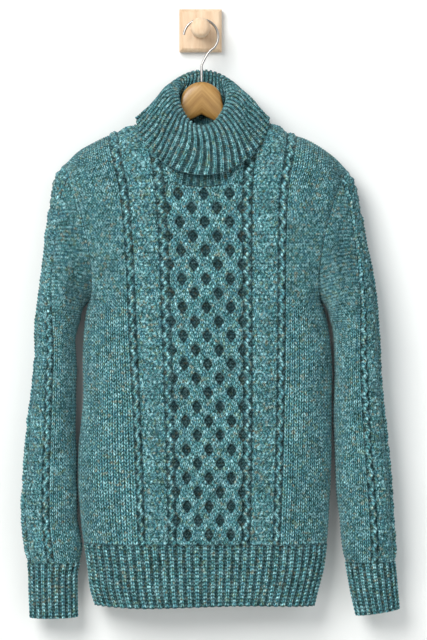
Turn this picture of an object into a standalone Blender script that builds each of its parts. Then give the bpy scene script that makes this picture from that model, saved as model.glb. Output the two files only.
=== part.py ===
"""Cable-knit turtleneck sweater on its wooden hanger, hung from a wooden wall peg.

Frame: origin at the centre of the wall plate's back face, the wall is the plane y = 0, the
garment hangs in front of it at y < 0, +X to the viewer's right, +Z up. Sizes are in
millimetres and turned into metres when a mesh is made.
"""
import math
from collections import namedtuple

import bmesh
import bpy
import numpy as np

for old in list(bpy.data.objects):
    bpy.data.objects.remove(old, do_unlink=True)

# Driving dimensions, in millimetres
MM = 0.001
WALL = 3.6                 # knitted cloth
COLLAR_WALL = 4.2
RIB_WALL = 3.8
SEAM = 0.3                 # gap left at every seam
MID_Y = -30.0              # plane of the side seams and of the shoulder line
HANGER_X = 1.5
HANGER_Y = -35.0           # plane of the hanger and its hook
ARM_FRONT = 40.0           # armhole depth in front of the mid plane
ARM_BACK = 20.0
SHOULDER_ROUND = 68.0      # height over which the shoulders round over
SIDE_ROUND = 66.0
COURSE_PAIR = 9.2          # height of two knitted rows
CELL = 4 * COURSE_PAIR     # one honeycomb or cable repeat
FIRST_CELL_Z = -660.7      # lowest row of honeycomb cells
HEM_TOP = -674.0
REGULAR_ROWS = 46          # rows of two courses below the yoke
YOKE_ROWS = 8
ARMPIT_ROW = 33

# Pattern columns of the front, measured from its centre line at chest level
HONEYCOMB_HALF = 44.4
HONEYCOMB_STEPS = 6
INNER_ZIGZAG = 50.7
CABLE_FROM = 57.0
CABLE_TO = 87.5
OUTER_ZIGZAG = 92.4
PATTERN_EDGE = 97.5
NECK_COLUMN = 57.0         # the column that runs into the shoulder end of the neckline
SWAY = 2.0                 # sideways swing of a zigzag cord
SLEEVE_PATTERN_EDGE = 22.5

# Neckline: height of its shoulder ends, then lowest z and power of its curve, in front and behind
NECK_END_Z = -124.0
FRONT_NECK = (-209.5, 2.2)
BACK_NECK = (-134.0, 2.6)

# Relief over the plain stocking stitch
PURL = -0.9
CORD = 3.2
PLAIT = 3.6
ZIGZAG = 1.7
RIB = 1.1
RIB_VALLEY = -0.45

# Shoulder line: x, z
RIDGE = (
    (-200, -186), (-180.9, -180), (-160, -161), (-137, -148), (-116, -138.5), (-92, -130),
    (-70, -127.5), (0, -121), (74, -125), (98, -129), (117, -138), (137, -144.5), (156, -155),
    (178, -171), (193.5, -187), (212, -199),
)
LEFT_TIP = (-180.9, -180.0)
RIGHT_TIP = (193.5, -187.0)
LEFT_ARMPIT_X = -147.0
RIGHT_ARMPIT_X = 159.5
ARMHOLE_BOW = 15.5         # how far the armhole seam bows towards the body
SHOULDER_SLOPE = math.radians(25)
TIP_SLOPE = math.radians(41)

# Body below the armpits: z, left edge x, right edge x, front depth, back depth
BODY = (
    (-756, -138.0, 149.0, 38, 18),
    (-735, -144.0, 154.0, 42, 19),
    (-708, -147.0, 161.0, 44, 20),
    (-674, -152.5, 165.5, 46, 21),
    (-635, -157.0, 168.0, 48, 22),
    (-590, -160.0, 170.0, 49, 22),
    (-548, -159.5, 171.0, 50, 22),
    (-490, -153.5, 171.5, 50, 22),
    (-420, -153.5, 170.5, 50, 22),
    (-385, -151.5, 166.0, 50, 22),
    (-357.1, -147.0, 159.5, 50, 22),
)
# Centre line and sideways stretch of the pattern columns: z, x, stretch
SPREAD = (
    (-756, 11.5, 0.90), (-674, 11.5, 0.94), (-515, 11.0, 1.0), (-400, 9.0, 1.04),
    (-275, 6.5, 1.08), (-210, 4.5, 1.13), (-150, 3.0, 1.25), (-110, 2.5, 1.30),
)

# Sleeves, shoulder to wrist: outer x and z, inner x and z, front depth, back depth, turn in degrees
LEFT_SLEEVE = (
    (-180.9, -180.0, -147.0, -357.1, 40, 20, 6),
    (-190.7, -198.5, -151.3, -361.0, 41, 20, 12),
    (-195.3, -226.0, -154.6, -366.5, 42, 20, 18),
    (-200.0, -260.0, -157.2, -374.0, 43, 20, 24),
    (-205.8, -300.5, -158.5, -383.0, 44, 20, 31),
    (-208.5, -340.0, -161.5, -392.0, 44, 20, 37),
    (-213.7, -379.0, -164.0, -404.0, 44, 20, 43),
    (-215.6, -414.0, -164.5, -420.0, 43, 20, 46),
    (-218.7, -450.0, -163.6, -451.0, 42, 20, 48),
    (-223.8, -498.5, -163.0, -498.5, 40, 20, 51),
    (-229.0, -551.0, -163.3, -551.0, 37, 20, 54),
    (-232.8, -602.0, -162.6, -602.0, 35, 19, 56),
    (-233.6, -641.5, -160.3, -641.5, 33, 18, 56),
    (-230.3, -680.0, -156.0, -680.0, 30, 17, 56),
    (-226.4, -699.0, -158.6, -699.0, 25, 15, 56),
)
RIGHT_SLEEVE = (
    (193.5, -187.0, 159.5, -357.1, 40, 20, 6),
    (202.7, -209.0, 163.8, -361.0, 41, 20, 12),
    (208.5, -238.0, 167.2, -366.5, 42, 20, 18),
    (214.4, -269.0, 169.8, -374.0, 43, 20, 24),
    (221.0, -303.0, 171.0, -382.0, 44, 20, 31),
    (226.8, -340.0, 173.3, -392.0, 44, 20, 37),
    (231.0, -379.0, 174.0, -405.0, 44, 20, 42),
    (234.0, -418.5, 174.2, -424.0, 43, 20, 45),
    (236.6, -454.0, 174.4, -456.5, 42, 20, 47),
    (240.3, -498.5, 174.8, -501.0, 40, 20, 48),
    (245.8, -551.0, 176.0, -553.5, 37, 20, 49),
    (250.8, -602.0, 178.5, -604.5, 35, 19, 50),
    (253.7, -641.5, 181.8, -643.0, 33, 18, 50),
    (255.0, -680.0, 187.2, -681.0, 30, 17, 50),
    (254.6, -697.5, 190.4, -698.5, 25, 15, 50),
)
# Cuffs, same columns
LEFT_CUFF = (
    (-226.4, -699.0, -158.6, -699.0, 25, 15, 56),
    (-225.1, -712.0, -161.5, -712.0, 24, 14, 56),
    (-224.5, -736.0, -162.1, -736.0, 23, 13, 56),
    (-223.0, -772.0, -161.6, -771.0, 22, 12, 56),
)
RIGHT_CUFF = (
    (254.6, -697.5, 190.4, -698.5, 25, 15, 50),
    (256.3, -716.0, 194.0, -718.5, 24, 14, 50),
    (258.3, -738.0, 198.0, -741.0, 23, 13, 50),
    (260.3, -760.5, 204.5, -769.0, 22, 12, 50),
)
SLEEVE_ROWS = 57
RING_SAMPLES = 361
CUFF_RIBS = 18

# Collar from the neckline over the fold to the loose edge. Half width, then z at the sides, in
# front and at the back, then y in front and at the back.
COLLAR = (
    (60.0, -112, -181, -114, -78, -17),
    (44.0, -98, -152, -84, -76, -18),
    (32.8, -88, -134, -62, -74, -18),
    (34.0, -80, -131, -53, -79, -14),
    (43.0, -79, -136, -54, -88, -9.5),
    (52.0, -84, -147, -64, -95, -7),
    (64.0, -96, -165, -84, -99, -6),
    (76.0, -108, -183, -103, -102, -5.5),
    (87.5, -118, -195, -119, -104, -5.5),
)
COLLAR_X = 3.0
COLLAR_SIDE_Y = -44.0
COLLAR_RIBS = 48
COLLAR_RELIEF = (0.8, 0.6, 0.5, 0.5, 0.7, 0.9, 1.0, 1.0, 1.0)  # share of the rib height, by row
HEM_RIBS = 34

# Hanger, hook, knob and plate
PLATE_SIZE = 56.0
PLATE_THICK = 15.0
PLATE_BEVEL = 4.0
WIRE = 1.6
HOOK_RADIUS = 22.5
HOOK_BEND = 24.0           # height over which the wire swings back over the shank
HOOK_CENTRE = (0.7, -10.6)
HANGER_TOP = -70.0
# Knob profile: radius, distance from the wall
KNOB = (
    (0.0, 15.3), (11.5, 15.3), (11.5, 20.0), (10.2, 25.0), (9.6, 31.0), (9.6, 36.0), (11.0, 39.5),
    (12.8, 44.0), (13.0, 48.0), (12.2, 53.0), (9.5, 57.0), (5.0, 59.3), (0.0, 60.0),
)
# Hanger arms: distance from the middle, top z, bottom z, half thickness
HANGER = (
    (0, -70.0, -112.5, 5.6),
    (10, -72.0, -117.5, 5.6),
    (18, -77.5, -121.5, 5.6),
    (24, -86.0, -124.5, 5.6),
    (27.5, -98.0, -126.5, 5.6),
    (34, -110.0, -131.0, 5.6),
    (46, -126.0, -142.0, 5.6),
    (66, -138.5, -157.0, 5.6),
    (90, -141.5, -164.0, 5.6),
    (116, -145.4, -171.0, 5.4),
    (140, -155.3, -180.0, 5.0),
    (160, -168.3, -190.0, 4.6),
)


def smooth(table, at):
    """Reads the columns of a table at one or more values of its first column, smoothly."""
    rows = np.array(table, float)
    rows = rows[np.argsort(rows[:, 0])]
    x, y = rows[:, 0], rows[:, 1:]
    slope = np.gradient(y, x, axis=0)
    at = np.clip(np.atleast_1d(np.asarray(at, float)), x[0], x[-1])
    i = np.clip(np.searchsorted(x, at) - 1, 0, len(x) - 2)
    h = (x[i + 1] - x[i])[:, None]
    t = ((at - x[i]) / (x[i + 1] - x[i]))[:, None]
    return ((1 + 2 * t) * (1 - t) ** 2 * y[i] + t * (1 - t) ** 2 * h * slope[i]
            + t * t * (3 - 2 * t) * y[i + 1] + t * t * (t - 1) * h * slope[i + 1])


def round_over(t):
    """Quarter round: 0 at the edge, 1 where the surface has become flat."""
    t = np.clip(t, 0.0, 1.0)
    return np.sqrt(1.0 - (1.0 - t) ** 2)


def unit(v):
    return v / np.maximum(np.linalg.norm(v, axis=-1, keepdims=True), 1e-9)


# Form of the body

def centre_x(z):
    return smooth(SPREAD, z)[0, 0]


def stretch(z):
    return smooth(SPREAD, z)[0, 1]


def ridge_z(x):
    return smooth(RIDGE, x)[:, 0]


def tip(side):
    return LEFT_TIP if side < 0 else RIGHT_TIP


def armpit(side):
    return (LEFT_ARMPIT_X if side < 0 else RIGHT_ARMPIT_X, FIRST_CELL_Z + ARMPIT_ROW * COURSE_PAIR)


def body_edge(z, side, front):
    """x of the side seam or armhole at height z, and the depth that the cloth has there."""
    tip_x, tip_z = tip(side)
    pit_x, pit_z = armpit(side)
    if z <= pit_z:
        return smooth(BODY, z)[0, 0 if side < 0 else 1], 0.0
    if z >= tip_z:
        return tip_x, 0.0
    cos = (2 * z - tip_z - pit_z) / (tip_z - pit_z)
    sin = math.sqrt(max(0.0, 1 - cos * cos))
    x = (tip_x + pit_x) / 2 + cos * (tip_x - pit_x) / 2 - side * ARMHOLE_BOW * sin
    return x, sin * (ARM_FRONT if front else ARM_BACK)


def body_depth(x, z, side, front):
    """How far the cloth stands from the mid plane."""
    full = smooth(BODY, z)[0, 2 if front else 3]
    edge, seam_depth = body_edge(z, side, front)
    over = round_over((ridge_z(x) - z) / SHOULDER_ROUND)
    inward = round_over(np.abs(x - edge) / SIDE_ROUND)
    return seam_depth + (full * over - seam_depth) * inward


def body_x(column, z, side, front, pattern_edge):
    """x of a column: millimetres in the pattern, past it an even share of the way to the edge."""
    held = min(z, tip(side)[1])
    if column <= pattern_edge:
        return centre_x(z) + side * column * stretch(z)
    start = centre_x(held) + side * pattern_edge * stretch(held)
    edge = body_edge(held, side, front)[0]
    across = np.linspace(start, edge, 60)
    depth = body_depth(across, held, side, front)
    along = np.concatenate([[0], np.cumsum(np.hypot(np.diff(across), np.diff(depth)))])
    share = (column - pattern_edge) / 100.0
    x = np.interp(share * along[-1], along, across)
    drift = centre_x(z) + side * pattern_edge * stretch(z) - start
    return x + drift * (1 - share)


def top_z(column, side, x, front):
    """Top edge of a panel: the neckline inside the neck column, the shoulder line outside it."""
    if column >= NECK_COLUMN:
        return ridge_z(x)[0]
    end = ridge_z(centre_x(NECK_END_Z) + side * NECK_COLUMN * stretch(NECK_END_Z))[0]
    low, power = FRONT_NECK if front else BACK_NECK
    return low + (end - low) * (column / NECK_COLUMN) ** power


def panel_columns(front):
    """Columns of one half of a panel, out from its centre line."""
    if front:
        half = [HONEYCOMB_HALF * i / HONEYCOMB_STEPS for i in range(HONEYCOMB_STEPS + 1)]
        half += [INNER_ZIGZAG, CABLE_FROM, 61.5, 68.4, 75.9, 83.0, CABLE_TO, OUTER_ZIGZAG, PATTERN_EDGE]
        return half + [PATTERN_EDGE + share for share in (30, 56, 80, 100)]
    return [0, 19, 38, NECK_COLUMN, 77, PATTERN_EDGE] + [PATTERN_EDGE + share for share in (30, 56, 80, 100)]


def panel_points(front, pair_step):
    """Rows of points of the front or back above the hem, and the column of each.

    pair_step thins the rows below the armpit. Up to it they stand level, above it they spread
    out to reach the shoulder line and the neckline.
    """
    half = panel_columns(front)
    signed = [-c for c in half[:0:-1]] + list(half)
    heights = [HEM_TOP] + [FIRST_CELL_Z + k * COURSE_PAIR for k in range(-1, REGULAR_ROWS + 1)
                           if k >= ARMPIT_ROW - 2 or (ARMPIT_ROW - k) % pair_step == 0]
    yoke = [1 - (1 - i / YOKE_ROWS) ** 1.25 for i in range(1, YOKE_ROWS + 1)]
    points = np.zeros((len(heights) + YOKE_ROWS, len(signed), 3))
    for j, c in enumerate(signed):
        side = -1 if c < 0 else 1
        column = abs(c)
        x_top = body_x(column, -120.0, side, front, PATTERN_EDGE)
        if column >= PATTERN_EDGE + 100:
            top = tip(side)[1]
        else:
            for _ in range(6):
                top = top_z(column, side, x_top, front)
                x_top = body_x(column, top, side, front, PATTERN_EDGE)
        base = heights[-1]
        levels = heights + [base + (top - base) * share for share in yoke]
        for i, z in enumerate(levels):
            x = body_x(column, z, side, front, PATTERN_EDGE)
            depth = float(body_depth(np.array([x]), z, side, front)[0])
            if i == len(levels) - 1 and column >= NECK_COLUMN:
                depth = 0.0
            points[i, j] = x, MID_Y + (-depth - SEAM / 2 if front else depth + SEAM / 2), z
    return points, np.array(signed)


# Relief of the knitting, in millimetres over stocking stitch

def triangle_wave(t):
    """Runs from 1 at whole numbers to -1 halfway between them."""
    t = t % 1.0
    return 1.0 - 4.0 * min(t, 1.0 - t)


def honeycomb(column, z):
    """Recessed cells between cords that part and meet."""
    pitch = HONEYCOMB_HALF / 1.5
    row = (z - FIRST_CELL_Z) / CELL
    height = CORD
    for shift_x, shift_z in ((0.0, 0.0), (0.5, 0.5)):
        across = (column / pitch + shift_x + 0.5) % 1.0 - 0.5
        along = (row + shift_z + 0.5) % 1.0 - 0.5
        deep = max(0.0, 1.0 - abs(across) / 0.26) * max(0.0, 1.0 - abs(along) / 0.30)
        height -= (CORD - PURL) * min(1.0, 1.8 * deep)
    return height


def plait(offset, width, z):
    """Three-strand plait: each half crosses over the middle in turn."""
    t = offset / width
    row = (z - FIRST_CELL_Z) / CELL
    if not 0.02 < t < 0.98:
        return PURL
    best = PURL
    for strand in range(3):
        phase = row + strand / 3.0
        centre = 0.5 + 0.33 * math.cos(2 * math.pi * phase)
        lift = 0.72 + 0.28 * math.cos(4 * math.pi * phase + math.pi)
        bump = max(0.0, 1.0 - ((t - centre) / 0.24) ** 2)
        best = max(best, PURL + (PLAIT - PURL) * lift * math.sqrt(bump))
    return best


def rib_heights(count):
    """One knit, one purl ribbing."""
    return np.where(np.arange(count) % 2, RIB, RIB_VALLEY)


def front_relief(column, z):
    column = abs(column)
    if column <= HONEYCOMB_HALF:
        return honeycomb(column, z) if column < HONEYCOMB_HALF - 0.1 else PURL
    if column in (INNER_ZIGZAG, OUTER_ZIGZAG):
        return ZIGZAG
    if CABLE_FROM <= column <= CABLE_TO:
        return plait(column - CABLE_FROM, CABLE_TO - CABLE_FROM, z)
    return PURL if column == PATTERN_EDGE else 0.0


def sleeve_relief(offset, z):
    distance = abs(offset)
    if distance <= 12.5:
        return plait(offset + 12.5, 25.0, z)
    if distance == 17.5:
        return ZIGZAG
    return PURL if distance == 22.5 else 0.0


# Closed walls

def normals(points, closed, outward):
    """Unit normals of a grid of points, turned to the side that outward points to."""
    if closed:
        wrapped = np.concatenate([points[:, -1:], points, points[:, :1]], axis=1)
        across = (wrapped[:, 2:] - wrapped[:, :-2])
    else:
        across = np.gradient(points, axis=1)
    along = np.gradient(points, axis=0)
    n = unit(np.cross(across, along))
    return n * (1 if np.sum(n * outward) > 0 else -1)


class Wall:
    """Gathers the corners and faces of one closed cloth wall."""

    def __init__(self):
        self.corners = []
        self.faces = []

    def add(self, points):
        first = len(self.corners)
        self.corners += [tuple(p) for p in points]
        return list(range(first, first + len(points)))

    def strip(self, a, at_a, b, at_b):
        """Triangles between two runs of corners, advancing by their places along the run."""
        i = j = 0
        while i < len(a) - 1 or j < len(b) - 1:
            if j == len(b) - 1 or (i < len(a) - 1 and at_a[i + 1] + at_a[i] <= at_b[j + 1] + at_b[j]):
                self.faces.append((a[i], a[i + 1], b[j]))
                i += 1
            else:
                self.faces.append((a[i], b[j + 1], b[j]))
                j += 1

    def band(self, a, at_a, b, at_b):
        """A strip round a ring."""
        self.strip(a + a[:1], list(at_a) + [at_a[0] + 1], b + b[:1], list(at_b) + [at_b[0] + 1])

    def quads(self, a, b, closed):
        count = len(a) if closed else len(a) - 1
        for i in range(count):
            k = (i + 1) % len(a)
            self.faces.append((a[i], a[k], b[k], b[i]))

    def build(self, name, material):
        mesh = bpy.data.meshes.new(name)
        mesh.from_pydata([tuple(v * MM for v in p) for p in self.corners], [], self.faces)
        work = bmesh.new()
        work.from_mesh(mesh)
        bmesh.ops.triangulate(work, faces=work.faces[:])
        bmesh.ops.recalc_face_normals(work, faces=work.faces[:])
        work.to_mesh(mesh)
        work.free()
        return place(name, mesh, material)


def place(name, mesh, material):
    mesh.shade_smooth()
    mesh.set_sharp_from_angle(angle=math.radians(40))
    mesh.materials.append(material)
    obj = bpy.data.objects.new(name, mesh)
    bpy.context.scene.collection.objects.link(obj)
    return obj


def finish(name, color, roughness, metallic=0.0):
    material = bpy.data.materials.new(name)
    material.use_nodes = True
    shader = material.node_tree.nodes["Principled BSDF"]
    shader.inputs["Base Color"].default_value = (*color, 1.0)
    shader.inputs["Roughness"].default_value = roughness
    shader.inputs["Metallic"].default_value = metallic
    return material


def open_wall(name, material, outer, inner, keep_rows, keep_columns):
    """Wall with four free edges: fine outer points over an inner face of the kept ones.

    The inner face keeps every point along its edges, so that neighbours can follow them.
    """
    wall = Wall()
    rows, columns = list(range(outer.shape[0])), list(range(outer.shape[1]))
    fine = [wall.add(row) for row in outer]
    keep_rows, keep_columns = keep_rows[1:-1], keep_columns[1:-1]
    plain = [wall.add(inner[r][keep_columns]) for r in keep_rows]
    bottom, top = wall.add(inner[0]), wall.add(inner[-1])
    left = [bottom[0]] + wall.add(inner[1:-1, 0]) + [top[0]]
    right = [bottom[-1]] + wall.add(inner[1:-1, -1]) + [top[-1]]
    for a, b in zip(fine, fine[1:]):
        wall.quads(a, b, False)
    for a, b in zip(plain, plain[1:]):
        wall.quads(a, b, False)
    wall.strip(bottom, columns, plain[0], keep_columns)
    wall.strip(top, columns, plain[-1], keep_columns)
    wall.strip(left, rows, [r[0] for r in plain], keep_rows)
    wall.strip(right, rows, [r[-1] for r in plain], keep_rows)
    wall.quads(fine[0], bottom, False)
    wall.quads(fine[-1], top, False)
    wall.quads([r[0] for r in fine], left, False)
    wall.quads([r[-1] for r in fine], right, False)
    return wall.build(name, material)


def first_rings(wall, rings, normal):
    """The seam edge of a tube and the ring after it, outside and inside. Gives the later pair."""
    outer = [wall.add(ring) for ring in rings]
    inner = [wall.add(ring - normal * WALL) for ring in rings]
    wall.quads(outer[0], inner[0], True)
    wall.quads(outer[0], outer[1], True)
    wall.quads(inner[0], inner[1], True)
    return outer[1], inner[1]


def tube_wall(name, material, outer, inner, angles, keep_rows, keep_columns, start=None):
    """Wall of a tube. start is an optional first ring: angles and points, outer and inner."""
    wall = Wall()
    fine = [wall.add(row) for row in outer]
    plain = [wall.add(inner[r][keep_columns]) for r in keep_rows]
    for a, b in zip(fine, fine[1:]):
        wall.quads(a, b, True)
    for a, b in zip(plain, plain[1:]):
        wall.quads(a, b, True)
    kept = [angles[k] for k in keep_columns]
    if start is None:
        wall.band(fine[0], angles, plain[0], kept)
    else:
        at, rings, normal = start
        a, b = first_rings(wall, rings, normal)
        order = sorted(range(len(angles)), key=lambda k: angles[k] % 1.0)
        wall.band(a, at, [fine[0][k] for k in order], [angles[k] % 1.0 for k in order])
        order = sorted(range(len(kept)), key=lambda k: kept[k] % 1.0)
        wall.band(b, at, [plain[0][k] for k in order], [kept[k] % 1.0 for k in order])
    wall.band(fine[-1], angles, plain[-1], kept)
    return wall.build(name, material)


# Panels

Panel = namedtuple("Panel", "points normals columns pit")


def shoulder_normal(side, slope):
    return np.array([side * math.sin(slope), 0, math.cos(slope)])


def armhole_normals(points, side):
    """Normals along an armhole edge, outward from the middle of its loop."""
    tip_x, tip_z = tip(side)
    pit_x, pit_z = armpit(side)
    middle = np.array([(tip_x + pit_x) / 2, MID_Y, (tip_z + pit_z) / 2])
    out = points - middle
    out[:, 0] = (tip_x - pit_x) / (tip_z - pit_z) * out[:, 2]
    out[:, 1] *= (tip_z - pit_z) / 2 / (ARM_FRONT if points[len(points) // 2, 1] < MID_Y else ARM_BACK)
    n = unit(out)
    n[0] = 0, 0, -1
    n[-1] = shoulder_normal(side, TIP_SLOPE)
    return n


def panel_normals(points, signed, front):
    n = normals(points, False, np.array([0, -1 if front else 1, 0]))
    pit_z = armpit(-1)[1]
    shoulder = np.abs(signed) > NECK_COLUMN - 0.01
    n[0, :, 2] = 0
    for column in (0, -1):
        side = -1 if column == 0 else 1
        below = points[:, column, 2] < pit_z - 0.01
        n[below, column] = (side, 0, 0)
        n[~below, column] = armhole_normals(points[~below, column].copy(), side)
    for j in np.flatnonzero(shoulder):
        side = -1 if signed[j] < 0 else 1
        n[-1, j] = shoulder_normal(side, SHOULDER_SLOPE)
    n[-1, 0] = shoulder_normal(-1, TIP_SLOPE)
    n[-1, -1] = shoulder_normal(1, TIP_SLOPE)
    return unit(n)


def make_panel(front, material):
    points, signed = panel_points(front, 1 if front else 3)
    n = panel_normals(points, signed, front)
    outer = points.copy()
    rows, columns = points.shape[:2]
    if front:
        for i in range(1, rows - 1):
            for j in range(1, columns - 1):
                z = points[i, j, 2]
                fade = min(1.0, (points[-1, j, 2] - z) / 6.0)
                outer[i, j] += n[i, j] * front_relief(signed[j], z) * fade
                if abs(signed[j]) in (INNER_ZIGZAG, OUTER_ZIGZAG):
                    outer[i, j, 0] += SWAY * triangle_wave((z - FIRST_CELL_Z) / (CELL / 2)) * fade
    inner = points - n * WALL
    pit = int(np.argmin(np.abs(points[:, 0, 2] - armpit(-1)[1])))
    keep_rows = sorted(set(list(range(0, pit, 6 if front else 3)) + list(range(pit, rows - 6, 3))
                           + [rows - 6, rows - 4, rows - 3, rows - 2, rows - 1]))
    half = [0, 3, 5, 6, 7, 8, 10, 13, 15, 16, 17, 18, 19] if front else list(range(10))
    middle = columns // 2
    half = [k for k in half if k <= middle]
    keep_columns = [middle - k for k in half[:0:-1]] + [middle + k for k in half]
    open_wall("front_panel" if front else "back_panel", material, outer, inner,
              keep_rows, keep_columns)
    return Panel(points, n, signed, pit)


def seam_ring(edge, normal, into, gap=SEAM):
    """A seam's ring of points moved off the panel edge, within the cloth's surface."""
    along = np.roll(edge, -1, axis=0) - np.roll(edge, 1, axis=0)
    away = unit(np.cross(along, normal))
    away *= np.sign(np.sum(away * into, axis=1, keepdims=True))
    return edge + away * gap


# Sleeves and cuffs

def sleeve_ring(cells, path, turn, side):
    """Loop across the sleeve: an oval that still bows like the armhole near the shoulder."""
    ox, oz, ix, iz, front, back = cells
    ring = np.array([(ox + ix) / 2, MID_Y, (oz + iz) / 2]) + np.cos(turn)[:, None] * np.array(
        [(ox - ix) / 2, 0, (oz - iz) / 2])
    ring[:, 1] -= np.where(np.sin(turn) > 0, front, back) * np.sin(turn)
    ring[:, 0] -= side * ARMHOLE_BOW * max(0.0, 1 - path / 240.0) ** 2 * np.abs(np.sin(turn))
    return ring


def tube_points(table, rows, offsets, side):
    """Rings of a sleeve or cuff, with each point's angle as a share of the turn."""
    cells = np.array(table, float)
    path = np.concatenate([[0], np.cumsum(np.hypot(np.diff(cells[:, 0]), np.diff(cells[:, 1])))])
    read = smooth(np.column_stack([path, cells]), np.linspace(0, path[-1], rows))
    turn = np.linspace(0, 2 * math.pi, RING_SAMPLES)
    points = np.zeros((rows, len(offsets), 3))
    angles = np.zeros((rows, len(offsets)))
    for i, (ox, oz, ix, iz, front, back, twist) in enumerate(read):
        ring = sleeve_ring((ox, oz, ix, iz, front, back), path[-1] * i / (rows - 1), turn, side)
        along = np.concatenate([[0], np.cumsum(np.linalg.norm(np.diff(ring, axis=0), axis=1))])
        start = np.interp(math.radians(twist), turn, along)
        total = along[-1]
        for j, offset in enumerate(offsets):
            at = (start + offset_length(offset, total)) % total
            points[i, j] = [np.interp(at, along, ring[:, k]) for k in range(3)]
            angles[i, j] = np.interp(at, along, turn) / (2 * math.pi)
    beside = smooth(np.column_stack([path, cells]), 0.55 * path[-1] / (rows - 1))[0, :6]
    return points, angles, (beside, 0.55 * path[-1] / (rows - 1))


def offset_length(offset, total):
    """Millimetres in the sleeve's pattern; past it 100 stands for half way round."""
    distance = abs(offset)
    if distance > SLEEVE_PATTERN_EDGE:
        distance = SLEEVE_PATTERN_EDGE + (total / 2 - SLEEVE_PATTERN_EDGE) * (
            (distance - SLEEVE_PATTERN_EDGE) / (100 - SLEEVE_PATTERN_EDGE))
    return math.copysign(distance, offset)


def ring_normals(points):
    """Outward normals of a tube, lying in the plane of its first and last ring."""
    middle = points.mean(axis=1, keepdims=True)
    n = normals(points, True, points - middle)
    for i in (0, -1):
        spread = points[i] - middle[i]
        axis = unit(np.cross(spread[0], spread[len(spread) // 4]))
        n[i] -= (n[i] @ axis)[:, None] * axis
    return unit(n)


def make_sleeve(name, table, side, material, front, back):
    plain = [60.0, 85.0, 97.0]
    offsets = [-o for o in plain[::-1]] + [-22.5, -17.5, -12.5, -9.0, -3.2, 3.2, 9.0, 12.5, 17.5, 22.5]
    offsets += plain + [100.0]
    points, angles, (beside, path) = tube_points(table, SLEEVE_ROWS, offsets, side)
    n = ring_normals(points)
    outer = points.copy()
    for i in range(1, SLEEVE_ROWS - 1):
        z = FIRST_CELL_Z + i * COURSE_PAIR
        fade = min(1.0, i / 2, (SLEEVE_ROWS - 1 - i) / 2)
        for j, offset in enumerate(offsets):
            outer[i, j] += n[i, j] * sleeve_relief(offset, z) * fade
            if abs(offset) == 17.5:
                along = unit(points[i, (j + 1) % len(offsets)] - points[i, j - 1])
                outer[i, j] += along * SWAY * triangle_wave(i / 2) * fade
    # the first ring follows the armhole edges of the front and back
    column = 0 if side < 0 else -1
    front_rows = list(range(front.pit, len(front.points)))[::-1]
    back_rows = list(range(back.pit + 1, len(back.points) - 1))
    edge = np.concatenate([front.points[front_rows, column], back.points[back_rows, column]])
    normal = np.concatenate([front.normals[front_rows, column], back.normals[back_rows, column]])
    count = len(front_rows)
    edge[0, 1] = edge[count - 1, 1] = MID_Y
    tip_z, pit_z = tip(side)[1], armpit(side)[1]
    cos = np.clip((2 * edge[:, 2] - tip_z - pit_z) / (tip_z - pit_z), -1, 1)
    at = np.arccos(cos) / (2 * math.pi)
    at[count:] = 1 - at[count:]
    ring = seam_ring(edge, normal, np.array([side, 0, 0]))
    second = sleeve_ring(beside, path, np.array(at) * 2 * math.pi, side)
    keep_rows = sorted(set([0, 1, 2, 4] + list(range(7, SLEEVE_ROWS - 3, 6)) + [SLEEVE_ROWS - 2]))
    keep_columns = [k for k, offset in enumerate(offsets) if abs(offset) not in (9.0, 17.5, 22.5)]
    tube_wall(name, material, outer[1:], (points - n * WALL)[1:], list(angles[1]), keep_rows,
              keep_columns, (list(at), (ring, second), normal))


def make_cuff(name, table, material):
    count = CUFF_RIBS * 2
    lowered = [(o[0], o[1] - SEAM, o[2], o[3] - SEAM, *o[4:]) if k == 0 else o
               for k, o in enumerate(table)]
    points = even_rings(lowered, 4, count)
    n = ring_normals(points)
    outer = points + n * rib_heights(count)[None, :, None]
    inner = points - n * RIB_WALL
    tube_wall(name, material, outer, inner, [k / count for k in range(count)],
              [0, 1, 2, 3], list(range(0, count, 3)))


def even_rings(table, rows, count):
    """Rings with evenly spaced points, for ribbing."""
    cells = np.array(table, float)
    path = np.concatenate([[0], np.cumsum(np.hypot(np.diff(cells[:, 0]), np.diff(cells[:, 1])))])
    read = smooth(np.column_stack([path, cells]), np.linspace(0, path[-1], rows))
    turn = np.linspace(0, 2 * math.pi, RING_SAMPLES)
    points = np.zeros((rows, count, 3))
    for i, (ox, oz, ix, iz, front, back, _) in enumerate(read):
        ring = np.array([(ox + ix) / 2, MID_Y, (oz + iz) / 2]) + np.cos(turn)[:, None] * np.array(
            [(ox - ix) / 2, 0, (oz - iz) / 2])
        ring[:, 1] -= np.where(np.sin(turn) > 0, front, back) * np.sin(turn)
        along = np.concatenate([[0], np.cumsum(np.linalg.norm(np.diff(ring, axis=0), axis=1))])
        for j in range(count):
            at = along[-1] * j / count
            points[i, j] = [np.interp(at, along, ring[:, k]) for k in range(3)]
    return points


# Hem ribbing

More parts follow.
